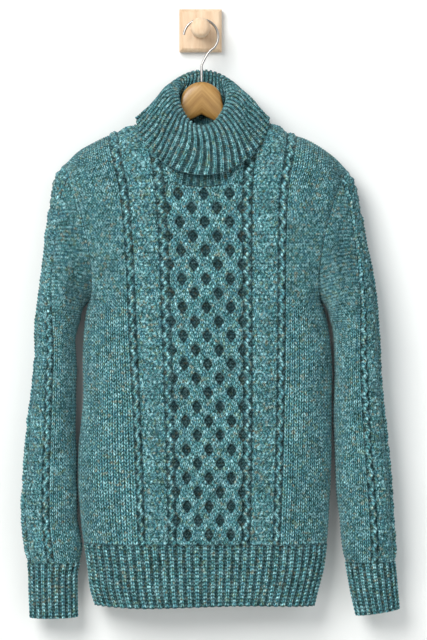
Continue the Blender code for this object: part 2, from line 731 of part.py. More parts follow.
def make_hem(name, front, material):
    count = HEM_RIBS
    shares = [100.0 * k / count for k in range(count + 1)]
    signed = [-s for s in shares[:0:-1]] + shares
    levels = (HEM_TOP - SEAM, -699.0, -730.0, -755.0)
    points = np.zeros((len(levels), len(signed), 3))
    for i, z in enumerate(levels):
        for j, c in enumerate(signed):
            side = -1 if c < 0 else 1
            x = body_x(abs(c), z, side, front, 0.0)
            depth = float(body_depth(np.array([x]), z, side, front)[0])
            drop = 1.6 * math.sin(x / 42.0) if i == len(levels) - 1 else 0.0
            points[i, j] = x, MID_Y + (-depth - SEAM / 2 if front else depth + SEAM / 2), z + drop
    n = normals(points, False, np.array([0, -1 if front else 1, 0]))
    n[0, :, 2] = 0
    n[:, 0] = -1, 0, 0
    n[:, -1] = 1, 0, 0
    n = unit(n)
    ribs = rib_heights(len(signed))
    ribs[0] = ribs[-1] = 0
    outer = points + n * ribs[None, :, None]
    keep = sorted(set([0, 3, 6, 10, 14] + list(range(22, len(signed) - 20, 11))
                      + [len(signed) - 1 - k for k in (0, 3, 6, 10, 14)]))
    open_wall(name, material, outer, points - n * RIB_WALL, list(range(len(levels))), keep)


# Collar

def collar_ring(row, turn):
    half, side_z, front_z, back_z, front_y, back_y = row
    sin, cos = np.sin(turn), np.cos(turn)
    lean = np.abs(sin) ** 1.2
    z = np.where(sin > 0, side_z + (front_z - side_z) * lean, side_z + (back_z - side_z) * lean)
    out = np.abs(sin) ** 0.85
    y = COLLAR_SIDE_Y + np.where(sin > 0, front_y - COLLAR_SIDE_Y, back_y - COLLAR_SIDE_Y) * out
    return np.column_stack([COLLAR_X + half * cos, y, z])


def ring_places(points, middle_y, half_x, front, back):
    """Angle of each point of a ring round the neck, as a share of the turn from the right side."""
    out = points[:, 1] - middle_y
    turn = np.arctan2(-out / np.where(out < 0, front, back), (points[:, 0] - COLLAR_X) / half_x)
    share = turn / (2 * math.pi)
    return [float(s) if s >= -1e-4 else float(s) + 1 for s in share]


def make_collar(material, front, back):
    count = COLLAR_RIBS * 2
    turn = np.linspace(0, 2 * math.pi, RING_SAMPLES)
    points = np.zeros((len(COLLAR), count, 3))
    for i, row in enumerate(COLLAR):
        ring = collar_ring(row, turn)
        along = np.concatenate([[0], np.cumsum(np.linalg.norm(np.diff(ring, axis=0), axis=1))])
        for j in range(count):
            points[i, j] = [np.interp(along[-1] * j / count, along, ring[:, k]) for k in range(3)]
    # the face that shows: inside the stand, over the fold, outside the turned-down part
    middle = points.mean(axis=1, keepdims=True)
    n = normals(points, True, np.zeros(3))
    n *= np.sign(np.sum(n[-1] * (points[-1] - middle[-1])))
    shown = points + n * (np.array(COLLAR_RELIEF)[:, None] * rib_heights(count))[:, :, None]
    hidden = points - n * COLLAR_WALL
    # neckline of the front and back, from the right shoulder round the front
    f_in = np.flatnonzero(np.abs(front.columns) <= NECK_COLUMN + 0.01)[::-1]
    b_in = np.flatnonzero(np.abs(back.columns) <= NECK_COLUMN + 0.01)[1:-1]
    edge = np.concatenate([front.points[-1, f_in], back.points[-1, b_in]])
    normal = np.concatenate([front.normals[-1, f_in], back.normals[-1, b_in]])
    edge[0, 1] = edge[len(f_in) - 1, 1] = MID_Y
    ring = seam_ring(edge, normal, np.array([0, 0, 1.0]))
    second = seam_ring(edge, normal, np.array([0, 0, 1.0]), 4.0)
    at = ring_places(edge, MID_Y, 75.0, 50.0, 14.0)
    half, _, _, _, front_y, back_y = COLLAR[0]
    first = ring_places(points[0], COLLAR_SIDE_Y, half, COLLAR_SIDE_Y - front_y, back_y - COLLAR_SIDE_Y)
    wall = Wall()
    fine = [wall.add(row) for row in shown]
    keep = list(range(0, count, 4))
    plain = [wall.add(row[keep]) for row in hidden]
    for a, b in zip(fine, fine[1:]):
        wall.quads(a, b, True)
    for a, b in zip(plain, plain[1:]):
        wall.quads(a, b, True)
    wall.band(fine[-1], [k / count for k in range(count)], plain[-1], [k / count for k in keep])
    outside, inside = first_rings(wall, (ring, second), normal)
    wall.band(inside, at, fine[0], first)
    wall.band(outside, at, plain[0], [first[k] for k in keep])
    wall.build("collar", material)


# Hanger, hook and peg

def make_hanger(material):
    wall = Wall()
    stations = [(-d, t, b, h) for d, t, b, h in HANGER[:0:-1]] + list(HANGER)
    rings = []
    for d, top, bottom, thick in stations:
        middle, half = (top + bottom) / 2, (top - bottom) / 2
        ring = []
        for k in range(8):
            turn = 2 * math.pi * k / 8
            ring.append((HANGER_X + d, HANGER_Y + thick * math.sin(turn), middle + half * math.cos(turn)))
        rings.append(wall.add(ring))
    for a, b in zip(rings, rings[1:]):
        wall.quads(a, b, True)
    wall.faces.append(tuple(rings[0]))
    wall.faces.append(tuple(rings[-1]))
    return wall.build("hanger", material)


def make_hook(material):
    cx, cz = HOOK_CENTRE
    path = [(cx + HOOK_RADIUS * math.cos(math.radians(a)), cz + HOOK_RADIUS * math.sin(math.radians(a)))
            for a in range(174, -46, -12)]
    end = path[-1]
    for t in (0.25, 0.5, 0.75, 1.0):
        ease = t * t * (3 - 2 * t)
        drop = 0.55 * t + 0.45 * ease
        path.append((end[0] + (HANGER_X - end[0]) * (1 - (1 - t) ** 1.6), end[1] - HOOK_BEND * drop))
    path.append((HANGER_X, HANGER_TOP + SEAM))
    points = np.array([(x, HANGER_Y, z) for x, z in path])
    along = unit(np.gradient(points, axis=0))
    wall = Wall()
    rings = []
    for p, a in zip(points, along):
        flat = np.array([-a[2], 0, a[0]])
        rings.append(wall.add([p + WIRE * (math.cos(t) * flat + math.sin(t) * np.array([0, 1.0, 0]))
                               for t in [2 * math.pi * k / 6 for k in range(6)]]))
    for a, b in zip(rings, rings[1:]):
        wall.quads(a, b, True)
    wall.faces.append(tuple(rings[0]))
    wall.faces.append(tuple(rings[-1]))
    return wall.build("hanger_hook", material)


def make_knob(material):
    wall = Wall()
    start = wall.add([(0, -KNOB[0][1], 0)])[0]
    rings = [wall.add([(r * math.cos(t), -d, r * math.sin(t))
                       for t in [2 * math.pi * k / 16 for k in range(16)]]) for r, d in KNOB[1:-1]]
    finish_point = wall.add([(0, -KNOB[-1][1], 0)])[0]
    for a, b in zip(rings, rings[1:]):
        wall.quads(a, b, True)
    for k in range(16):
        wall.faces.append((start, rings[0][k], rings[0][(k + 1) % 16]))
        wall.faces.append((finish_point, rings[-1][k], rings[-1][(k + 1) % 16]))
    return wall.build("wall_knob", material)


def make_plate(material):
    half, edge = PLATE_SIZE / 2, PLATE_SIZE / 2 - PLATE_BEVEL
    wall = Wall()
    outline = ((half, 0.0), (half, PLATE_BEVEL - PLATE_THICK), (edge, -PLATE_THICK))
    rings = [wall.add([(-s, y, -s), (s, y, -s), (s, y, s), (-s, y, s)]) for s, y in outline]
    for a, b in zip(rings, rings[1:]):
        wall.quads(a, b, True)
    wall.faces.append(tuple(rings[0]))
    wall.faces.append(tuple(rings[-1]))
    return wall.build("wall_plate", material)


def main():
    teal = finish("teal_wool", (0.09, 0.26, 0.29), 0.95)
    rib = finish("teal_ribbing", (0.08, 0.24, 0.27), 0.95)
    maple = finish("pale_wood", (0.80, 0.62, 0.42), 0.5)
    golden = finish("golden_wood", (0.66, 0.42, 0.17), 0.4)
    steel = finish("steel_wire", (0.55, 0.55, 0.55), 0.3, 1.0)
    front = make_panel(True, teal)
    back = make_panel(False, teal)
    make_sleeve("left_sleeve", LEFT_SLEEVE, -1, teal, front, back)
    make_sleeve("right_sleeve", RIGHT_SLEEVE, 1, teal, front, back)
    make_cuff("left_cuff", LEFT_CUFF, rib)
    make_cuff("right_cuff", RIGHT_CUFF, rib)
    make_hem("hem_rib_front", True, rib)
    make_hem("hem_rib_back", False, rib)
    make_collar(rib, front, back)
    make_hanger(golden)
    make_hook(steel)
    make_knob(maple)
    make_plate(maple)


main()
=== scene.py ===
"""Cable-knit turtleneck sweater on its wooden hanger, hung from a wooden wall peg: the look.

The garment's knitting is built stitch by stitch on the same form as the frame's solids. Tables
and form are in millimetres, meshes in metres.
"""

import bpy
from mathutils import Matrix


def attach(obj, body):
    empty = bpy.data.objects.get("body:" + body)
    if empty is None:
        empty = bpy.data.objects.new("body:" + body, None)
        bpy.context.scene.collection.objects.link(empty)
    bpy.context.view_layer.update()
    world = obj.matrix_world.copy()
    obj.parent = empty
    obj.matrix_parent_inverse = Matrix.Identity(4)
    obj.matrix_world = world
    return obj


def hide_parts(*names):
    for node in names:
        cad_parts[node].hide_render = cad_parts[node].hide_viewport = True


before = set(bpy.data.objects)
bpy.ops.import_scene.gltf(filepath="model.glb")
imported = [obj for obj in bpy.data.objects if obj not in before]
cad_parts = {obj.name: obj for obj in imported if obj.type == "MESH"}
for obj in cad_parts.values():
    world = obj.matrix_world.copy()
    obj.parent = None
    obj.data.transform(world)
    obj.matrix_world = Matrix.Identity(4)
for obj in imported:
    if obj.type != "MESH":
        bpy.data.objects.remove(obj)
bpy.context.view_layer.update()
import math

import bmesh
import bpy
import numpy as np
from mathutils import Vector

# Driving dimensions, in millimetres
MM = 0.001
WALL = 3.6                 # knitted cloth
COLLAR_WALL = 4.2
RIB_WALL = 3.8
SEAM = 0.3                 # gap left at every seam
MID_Y = -30.0              # plane of the side seams and of the shoulder line
HANGER_X = 1.5
HANGER_Y = -35.0           # plane of the hanger and its hook
ARM_FRONT = 40.0           # armhole depth in front of the mid plane
ARM_BACK = 20.0
SHOULDER_ROUND = 68.0      # height over which the shoulders round over
SIDE_ROUND = 66.0
COURSE_PAIR = 9.2          # height of two knitted rows
FIRST_CELL_Z = -660.7      # lowest row of honeycomb cells
HEM_TOP = -674.0
REGULAR_ROWS = 46          # rows of two courses below the yoke
ARMPIT_ROW = 33

# Pattern columns of the front, measured from its centre line at chest level
HONEYCOMB_HALF = 44.4
INNER_ZIGZAG = 50.7
CABLE_FROM = 57.0
CABLE_TO = 87.5
OUTER_ZIGZAG = 92.4
PATTERN_EDGE = 97.5
NECK_COLUMN = 57.0         # the column that runs into the shoulder end of the neckline
SLEEVE_PATTERN_EDGE = 22.5

# Neckline: height of its shoulder ends, then lowest z and power of its curve, in front and behind
NECK_END_Z = -124.0
FRONT_NECK = (-209.5, 2.2)
BACK_NECK = (-134.0, 2.6)

# Relief over the plain stocking stitch
PURL = -0.9
CORD = 3.2
PLAIT = 3.6
ZIGZAG = 1.7
RIB = 1.1

# Shoulder line: x, z
RIDGE = (
    (-200, -186), (-180.9, -180), (-160, -161), (-137, -148), (-116, -138.5), (-92, -130),
    (-70, -127.5), (0, -121), (74, -125), (98, -129), (117, -138), (137, -144.5), (156, -155),
    (178, -171), (193.5, -187), (212, -199),
)
LEFT_TIP = (-180.9, -180.0)
RIGHT_TIP = (193.5, -187.0)
LEFT_ARMPIT_X = -147.0
RIGHT_ARMPIT_X = 159.5
ARMHOLE_BOW = 15.5         # how far the armhole seam bows towards the body
BOW_LENGTH = 240.0         # length of sleeve over which that bow fades
FAR = 1e6                  # a place past the bow

# Body below the armpits: z, left edge x, right edge x, front depth, back depth
BODY = (
    (-756, -138.0, 149.0, 38, 18),
    (-735, -144.0, 154.0, 42, 19),
    (-708, -147.0, 161.0, 44, 20),
    (-674, -152.5, 165.5, 46, 21),
    (-635, -157.0, 168.0, 48, 22),
    (-590, -160.0, 170.0, 49, 22),
    (-548, -159.5, 171.0, 50, 22),
    (-490, -153.5, 171.5, 50, 22),
    (-420, -153.5, 170.5, 50, 22),
    (-385, -151.5, 166.0, 50, 22),
    (-357.1, -147.0, 159.5, 50, 22),
)
# Centre line and sideways stretch of the pattern columns: z, x, stretch
SPREAD = (
    (-756, 11.5, 0.90), (-674, 11.5, 0.94), (-515, 11.0, 1.0), (-400, 9.0, 1.04),
    (-275, 6.5, 1.08), (-210, 4.5, 1.13), (-150, 3.0, 1.25), (-110, 2.5, 1.30),
)

# Sleeves, shoulder to wrist: outer x and z, inner x and z, front depth, back depth, turn in degrees
LEFT_SLEEVE = (
    (-180.9, -180.0, -147.0, -357.1, 40, 20, 6),
    (-190.7, -198.5, -151.3, -361.0, 41, 20, 12),
    (-195.3, -226.0, -154.6, -366.5, 42, 20, 18),
    (-200.0, -260.0, -157.2, -374.0, 43, 20, 24),
    (-205.8, -300.5, -158.5, -383.0, 44, 20, 31),
    (-208.5, -340.0, -161.5, -392.0, 44, 20, 37),
    (-213.7, -379.0, -164.0, -404.0, 44, 20, 43),
    (-215.6, -414.0, -164.5, -420.0, 43, 20, 46),
    (-218.7, -450.0, -163.6, -451.0, 42, 20, 48),
    (-223.8, -498.5, -163.0, -498.5, 40, 20, 51),
    (-229.0, -551.0, -163.3, -551.0, 37, 20, 54),
    (-232.8, -602.0, -162.6, -602.0, 35, 19, 56),
    (-233.6, -641.5, -160.3, -641.5, 33, 18, 56),
    (-230.3, -680.0, -156.0, -680.0, 30, 17, 56),
    (-226.4, -699.0, -158.6, -699.0, 25, 15, 56),
)
RIGHT_SLEEVE = (
    (193.5, -187.0, 159.5, -357.1, 40, 20, 6),
    (202.7, -209.0, 163.8, -361.0, 41, 20, 12),
    (208.5, -238.0, 167.2, -366.5, 42, 20, 18),
    (214.4, -269.0, 169.8, -374.0, 43, 20, 24),
    (221.0, -303.0, 171.0, -382.0, 44, 20, 31),
    (226.8, -340.0, 173.3, -392.0, 44, 20, 37),
    (231.0, -379.0, 174.0, -405.0, 44, 20, 42),
    (234.0, -418.5, 174.2, -424.0, 43, 20, 45),
    (236.6, -454.0, 174.4, -456.5, 42, 20, 47),
    (240.3, -498.5, 174.8, -501.0, 40, 20, 48),
    (245.8, -551.0, 176.0, -553.5, 37, 20, 49),
    (250.8, -602.0, 178.5, -604.5, 35, 19, 50),
    (253.7, -641.5, 181.8, -643.0, 33, 18, 50),
    (255.0, -680.0, 187.2, -681.0, 30, 17, 50),
    (254.6, -697.5, 190.4, -698.5, 25, 15, 50),
)
# Cuffs, same columns
LEFT_CUFF = (
    (-226.4, -699.0, -158.6, -699.0, 25, 15, 56),
    (-225.1, -712.0, -161.5, -712.0, 24, 14, 56),
    (-224.5, -736.0, -162.1, -736.0, 23, 13, 56),
    (-223.0, -772.0, -161.6, -771.0, 22, 12, 56),
)
RIGHT_CUFF = (
    (254.6, -697.5, 190.4, -698.5, 25, 15, 50),
    (256.3, -716.0, 194.0, -718.5, 24, 14, 50),
    (258.3, -738.0, 198.0, -741.0, 23, 13, 50),
    (260.3, -760.5, 204.5, -769.0, 22, 12, 50),
)
SLEEVE_ROWS = 57
RING_SAMPLES = 361
CUFF_RIBS = 18

# Collar from the neckline over the fold to the loose edge. Half width, then z at the sides, in
# front and at the back, then y in front and at the back.
COLLAR = (
    (60.0, -112, -181, -114, -78, -17),
    (44.0, -98, -152, -84, -76, -18),
    (32.8, -88, -134, -62, -74, -18),
    (34.0, -80, -131, -53, -79, -14),
    (43.0, -79, -136, -54, -88, -9.5),
    (52.0, -84, -147, -64, -95, -7),
    (64.0, -96, -165, -84, -99, -6),
    (76.0, -108, -183, -103, -102, -5.5),
    (87.5, -118, -195, -119, -104, -5.5),
)
COLLAR_X = 3.0
COLLAR_SIDE_Y = -44.0
COLLAR_RIBS = 48
COLLAR_RELIEF = (0.8, 0.6, 0.5, 0.5, 0.7, 0.9, 1.0, 1.0, 1.0)  # share of the rib height, by row
HEM_RIBS = 34

# Hanger, hook, knob and plate
PLATE_SIZE = 56.0
PLATE_THICK = 15.0
PLATE_BEVEL = 4.0
PLATE_CORNER = 0.8         # radius of its upright corners
WIRE = 1.6
HOOK_RADIUS = 22.5
HOOK_BEND = 24.0           # height over which the wire swings back over the shank
HOOK_CENTRE = (0.7, -10.6)
HANGER_TOP = -70.0
# Knob profile: radius, distance from the wall
KNOB = (
    (0.0, 15.3), (11.5, 15.3), (11.5, 20.0), (10.2, 25.0), (9.6, 31.0), (9.6, 36.0), (11.0, 39.5),
    (12.8, 44.0), (13.0, 48.0), (12.2, 53.0), (9.5, 57.0), (5.0, 59.3), (0.0, 60.0),
)
# Hanger arms: distance from the middle, top z, bottom z, half thickness
HANGER = (
    (0, -70.0, -112.5, 5.6),
    (10, -72.0, -117.5, 5.6),
    (18, -77.5, -121.5, 5.6),
    (24, -86.0, -124.5, 5.6),
    (27.5, -98.0, -126.5, 5.6),
    (34, -110.0, -131.0, 5.6),
    (46, -126.0, -142.0, 5.6),
    (66, -138.5, -157.0, 5.6),
    (90, -141.5, -164.0, 5.6),
    (116, -145.4, -171.0, 5.4),
    (140, -155.3, -180.0, 5.0),
    (160, -168.3, -190.0, 4.6),
)

# Stitches
PITCH = 5.5                # width of a plain stitch
COURSE = COURSE_PAIR / 2
LEG = 1.35                 # height of a stitch's legs
CELL_FLOOR = -2.1          # height of the honeycomb's floor
FLOOR_WALE = 3.7           # width of a purl stitch on it
PURL_BUMP = 0.55
CORD_HALF = 4.7            # half width of a honeycomb cord where a cell is widest
CORD_SWING = 3.7
REPEAT = 8                 # courses to a honeycomb cell or a plait's crossing
PLAIT_STEPS = 36           # columns of points over a plait
EDGE_WALES = 14            # plain stitches beside the pattern, on each half
YOKE_LINES = 92            # lines of points above the regular rows
COLLAR_LINES = 97
CUFF_LINES = 33
HEM_LINES = 36
HEM_FOOT = -755.0
RIB_POINTS = 10            # points round a rib
FIBRES = 16000.0           # loose fibres to a square metre

# Neck band: where it starts on the front, how far off the cloth, and how wide that start is
BAND_FOOT_Z = -208.0
BAND_OFF = 4.4
BAND_HALF = 54.0
BAND_BLEND = 14.0
BAND_LINES = 27
NECK_SHAPE = (75.0, 50.0, 14.0)  # half width, depth in front and behind of the neckline

# Hanger
HUMP = 27.5                # radius of its round top
HANGER_END = 159.5
HANGER_SECTIONS = 141
HANGER_SIDES = 32

# Soft troughs (below 0) and ridges: x and z of both ends of the line, half width, height
BODY_CREASES = (
    (-138, -215, -139, -300, 9, -4.0),
    (-118, -180, -112, -310, 14, 2.2),
    (147, -225, 146, -310, 9, -3.0),
    (-100, -430, -128, -600, 16, 1.2),
    (120, -330, 142, -520, 15, 1.4),
)
SLEEVE_CREASES = (
    (-166, -215, -163, -340, 9, -6.0),
    (-178, -250, -182, -420, 10, 1.5),
    (-205, -430, -172, -470, 9, -1.8),
    (-222, -520, -178, -548, 9, -1.6),
    (-222, -630, -170, -655, 9, -2.0),
    (186, -260, 182, -350, 9, -4.5),
    (218, -420, 186, -455, 9, -1.8),
    (240, -540, 190, -560, 9, -1.8),
    (246, -640, 196, -655, 9, -2.0),
)
COLLAR_CREASES = (
    (-52, -112, -58, -138, 6, -2.6),
    (-44, -104, -48, -134, 6, 2.0),
    (58, -100, 62, -128, 6, -2.6),
    (50, -92, 54, -124, 6, 2.0),
    (-20, -150, -26, -178, 8, 0.9),
    (22, -148, 30, -176, 8, 0.9),
)

# Room, in metres
ROOM_HALF = 2.2
WALL_PLANE = 0.001
WALL_TOP = 1.6
FLOOR_LEVEL = -1.5
FLOOR_FRONT = -4.5
FLOOR_BACK = 0.6

# Camera, in metres
CAMERA_PLACE = (0.0171, -3.5, -0.3819)
CAMERA_LENS = 99.2


def smooth(table, at):
    """Reads the columns of a table at one or more values of its first column, smoothly."""
    rows = np.array(table, float)
    rows = rows[np.argsort(rows[:, 0])]
    x, y = rows[:, 0], rows[:, 1:]
    slope = np.gradient(y, x, axis=0)
    at = np.clip(np.atleast_1d(np.asarray(at, float)), x[0], x[-1])
    i = np.clip(np.searchsorted(x, at) - 1, 0, len(x) - 2)
    h = (x[i + 1] - x[i])[:, None]
    t = ((at - x[i]) / (x[i + 1] - x[i]))[:, None]
    return ((1 + 2 * t) * (1 - t) ** 2 * y[i] + t * (1 - t) ** 2 * h * slope[i]
            + t * t * (3 - 2 * t) * y[i + 1] + t * t * (t - 1) * h * slope[i + 1])


def round_over(t):
    """Quarter round: 0 at the edge, 1 where the surface has become flat."""
    return np.sqrt(1.0 - (1.0 - np.clip(t, 0.0, 1.0)) ** 2)


def unit(v):
    return v / np.maximum(np.linalg.norm(v, axis=-1, keepdims=True), 1e-9)


def ease(t):
    t = np.clip(t, 0.0, 1.0)
    return t * t * (3 - 2 * t)


# Form of the body, as in the part

def centre_x(z):
    return smooth(SPREAD, z)[0, 0]


def stretch(z):
    return smooth(SPREAD, z)[0, 1]


def ridge_z(x):
    return smooth(RIDGE, x)[:, 0]


def tip(side):
    return LEFT_TIP if side < 0 else RIGHT_TIP


def armpit(side):
    return (LEFT_ARMPIT_X if side < 0 else RIGHT_ARMPIT_X, FIRST_CELL_Z + ARMPIT_ROW * COURSE_PAIR)


def body_edge(z, side, front):
    """x of the side seam or armhole at height z, and the depth that the cloth has there."""
    tip_x, tip_z = tip(side)
    pit_x, pit_z = armpit(side)
    if z <= pit_z:
        return smooth(BODY, z)[0, 0 if side < 0 else 1], 0.0
    if z >= tip_z:
        return tip_x, 0.0
    cos = (2 * z - tip_z - pit_z) / (tip_z - pit_z)
    sin = math.sqrt(max(0.0, 1 - cos * cos))
    x = (tip_x + pit_x) / 2 + cos * (tip_x - pit_x) / 2 - side * ARMHOLE_BOW * sin
    return x, sin * (ARM_FRONT if front else ARM_BACK)


def body_depth(x, z, side, front):
    """How far the cloth stands from the mid plane."""
    full = smooth(BODY, z)[0, 2 if front else 3]
    edge, seam_depth = body_edge(z, side, front)
    over = round_over((ridge_z(x) - z) / SHOULDER_ROUND)
    inward = round_over(np.abs(x - edge) / SIDE_ROUND)
    return seam_depth + (full * over - seam_depth) * inward


def body_row(columns, z, side, front, pattern_edge=PATTERN_EDGE):
    """x and depth at height z of columns of one half: millimetres in the pattern, then shares."""
    held = min(z, tip(side)[1])
    start = centre_x(held) + side * pattern_edge * stretch(held)
    edge = body_edge(held, side, front)[0]
    across = np.linspace(start, edge, 60)
    depth = body_depth(across, held, side, front)
    along = np.concatenate([[0], np.cumsum(np.hypot(np.diff(across), np.diff(depth)))])
    share = np.clip((columns - pattern_edge) / 100.0, 0, 1)
    drift = centre_x(z) + side * pattern_edge * stretch(z) - start
    outside = np.interp(share * along[-1], along, across) + drift * (1 - share)
    x = np.where(columns <= pattern_edge, centre_x(z) + side * columns * stretch(z), outside)
    return x, body_depth(x, z, side, front)


def top_z(column, side, x, front):
    """Top edge of a panel: the neckline inside the neck column, the shoulder line outside it."""
    if column >= NECK_COLUMN:
        return ridge_z(x)[0]
    end = ridge_z(centre_x(NECK_END_Z) + side * NECK_COLUMN * stretch(NECK_END_Z))[0]
    low, power = FRONT_NECK if front else BACK_NECK
    return low + (end - low) * (column / NECK_COLUMN) ** power


def column_top(column, side, front):
    if column >= PATTERN_EDGE + 100:
        return tip(side)[1]
    top = -120.0
    for _ in range(6):
        x = body_row(np.array([column]), top, side, front)[0][0]
        top = top_z(column, side, x, front)
    return top


def body_surface(half, front, levels, yoke_rows):
    """Rows of points over the whole width. Above the last level the rows follow the courses up
    each column and end at its top edge, so that many of them meet there. Gives the points and
    the first row of each column that lies on the top edge."""
    grids, clips = [], []
    for side in (-1, 1):
        flat = []
        for z in levels:
            x, depth = body_row(half, z, side, front)
            flat.append(np.column_stack([x, depth, np.full(len(half), z)]))
        base = levels[-1]
        tops = np.array([column_top(c, side, front) for c in half])
        shares = 1 - (1 - np.linspace(0, 1, 33)) ** 1.8
        path = []
        for share in shares:
            heights = base + (tops - base) * share
            at = [body_row(half[j:j + 1], z, side, front) for j, z in enumerate(heights)]
            path.append(np.column_stack([[a[0][0] for a in at], [a[1][0] for a in at], heights]))
        path = np.array(path)
        path[-1, half >= NECK_COLUMN, 1] = 0.0
        length = np.concatenate([np.zeros((1, len(half))), np.cumsum(np.linalg.norm(
            np.diff(path, axis=0), axis=2), axis=0)])
        step = COURSE_PAIR / 4
        rows = np.minimum(np.arange(1, yoke_rows + 1)[:, None] * step, length[-1])
        rows[(length[-1] - rows) < 0.4 * step] = 1e9
        rows = np.minimum(rows, length[-1])
        upper = np.zeros((yoke_rows, len(half), 3))
        for j in range(len(half)):
            for k in range(3):
                upper[:, j, k] = np.interp(rows[:, j], length[:, j], path[:, j, k])
        clips.append(len(levels) + np.argmax(rows >= length[-1] - 1e-6, axis=0))
        grids.append(np.concatenate([np.array(flat), upper]))
    points = np.concatenate([grids[0][:, :0:-1], grids[1]], axis=1)
    clip = np.concatenate([clips[0][:0:-1], clips[1]])
    y = points[:, :, 1] + SEAM / 2
    points[:, :, 1] = MID_Y + (-y if front else y)
    return points, clip


# Form of the sleeves, cuffs and collar

def distances(line):
    """How far along a line each of its points lies."""
    return np.concatenate([[0], np.cumsum(np.linalg.norm(np.diff(line, axis=0), axis=1))])


def points_along(line, at):
    """Points of a line at distances along it."""
    along = distances(line)
    return np.column_stack([np.interp(at, along, line[:, k]) for k in range(3)])


def evenly(ring, count):
    return points_along(ring, distances(ring)[-1] * np.arange(count) / count)


def sleeve_ring(cells, path, turn, side):
    """Loop across the sleeve: an oval that still bows like the armhole near the shoulder."""
    ox, oz, ix, iz, front, back = cells
    ring = np.array([(ox + ix) / 2, MID_Y, (oz + iz) / 2]) + np.cos(turn)[:, None] * np.array(
        [(ox - ix) / 2, 0, (oz - iz) / 2])
    ring[:, 1] -= np.where(np.sin(turn) > 0, front, back) * np.sin(turn)
    ring[:, 0] -= side * ARMHOLE_BOW * max(0.0, 1 - path / BOW_LENGTH) ** 2 * np.abs(np.sin(turn))
    return ring


def table_rows(table, share):
    """Sleeve or cuff table read at shares of its length, and that length."""
    cells = np.array(table, float)
    path = np.concatenate([[0], np.cumsum(np.hypot(np.diff(cells[:, 0]), np.diff(cells[:, 1])))])
    return smooth(np.column_stack([path, cells]), share * path[-1]), path[-1]


def sleeve_surface(table, side, rows, offsets):
    """Rings of a sleeve with points at distances from the pattern's middle, ended half way round.
    Gives the points and how many of the offsets each ring has room for."""
    read, length = table_rows(table, np.linspace(0, 1, rows))
    turn = np.linspace(0, 2 * math.pi, RING_SAMPLES)
    points = np.zeros((rows, len(offsets), 3))
    halves = np.zeros(rows)
    for i, (ox, oz, ix, iz, front, back, twist) in enumerate(read):
        ring = sleeve_ring((ox, oz, ix, iz, front, back), length * i / (rows - 1), turn, side)
        along = distances(ring)
        start = np.interp(math.radians(twist), turn, along)
        halves[i] = along[-1] / 2
        points[i] = points_along(ring, (start + np.clip(offsets, -halves[i], halves[i])) % along[-1])
    points[0, :, 0] += side * SEAM
    return points, halves


def even_surface(table, rows, count):
    """Rings with evenly spaced points, for ribbing."""
    read, _ = table_rows(table, np.linspace(0, 1, rows))
    turn = np.linspace(0, 2 * math.pi, RING_SAMPLES)
    points = np.zeros((rows, count, 3))
    for i, (ox, oz, ix, iz, front, back, _) in enumerate(read):
        points[i] = evenly(sleeve_ring((ox, oz, ix, iz, front, back), FAR, turn, 1), count)
    return points


def collar_ring(row, turn):
    """Loop of the collar from a row of its table."""
    half, side_z, front_z, back_z, front_y, back_y = row
    sin, cos = np.sin(turn), np.cos(turn)
    lean = np.abs(sin) ** 1.2
    z = np.where(sin > 0, side_z + (front_z - side_z) * lean, side_z + (back_z - side_z) * lean)
    out = np.abs(sin) ** 0.85
    y = COLLAR_SIDE_Y + np.where(sin > 0, front_y - COLLAR_SIDE_Y, back_y - COLLAR_SIDE_Y) * out
    return np.column_stack([COLLAR_X + half * cos, y, z])


def collar_surface(rows, count):
    """Collar from the neckline over the fold to the loose edge, and the table row of each ring."""
    table = np.array(COLLAR, float)
    places = np.arange(len(table))
    gaps = np.hypot(np.diff(table[:, 2]), np.diff(table[:, 4]))
    path = np.concatenate([[0], np.cumsum(gaps)])
    at = np.interp(np.linspace(0, path[-1], rows), path, places)
    read = smooth(np.column_stack([places, table]), at)
    turn = np.linspace(0, 2 * math.pi, RING_SAMPLES)
    points = np.zeros((rows, count, 3))
    for i, row in enumerate(read):
        points[i] = evenly(collar_ring(row, turn), count)
    return points, at


# Relief of the knitting. Every function works on arrays, rows counted in courses.


def swing_wave(t):
    """From 1 at whole numbers to -1 halfway, with a rounded flat at each end."""
    t = t % 1.0
    return np.tanh(1.2 * (1.0 - 4.0 * np.minimum(t, 1.0 - t))) / 0.834


def legs(wale, crest):
    """Rise and height of the two legs of a knit stitch, for its share across."""
    apart = np.abs(2 * (wale % 1.0) - 1)
    round_leg = np.sin(np.pi * apart) * (0.55 + 0.45 * crest)
    return 0.5 * apart, LEG * (round_leg - 0.45 * apart ** 4 - 0.3 * (1 - crest))


def cord_relief(offset, half, wales, crest, height):
    """A raised cord of so many wales: its rise, height, wale, and where it is."""
    share = np.clip(offset / half, -1, 1)
    wale = (share + 1) / 2 * wales
    rise, leg = legs(wale, crest)
    crown = np.sqrt(np.maximum(0, 1 - share ** 4))
    return rise, PURL + (height - PURL) * crown + leg * crown, wale, np.abs(offset) < half


def purl_relief(crest, across):
    """Low bumps of purl ground."""
    bump = PURL_BUMP * (1 - crest) * (0.7 + 0.3 * np.cos(2 * np.pi * across))
    return PURL + bump


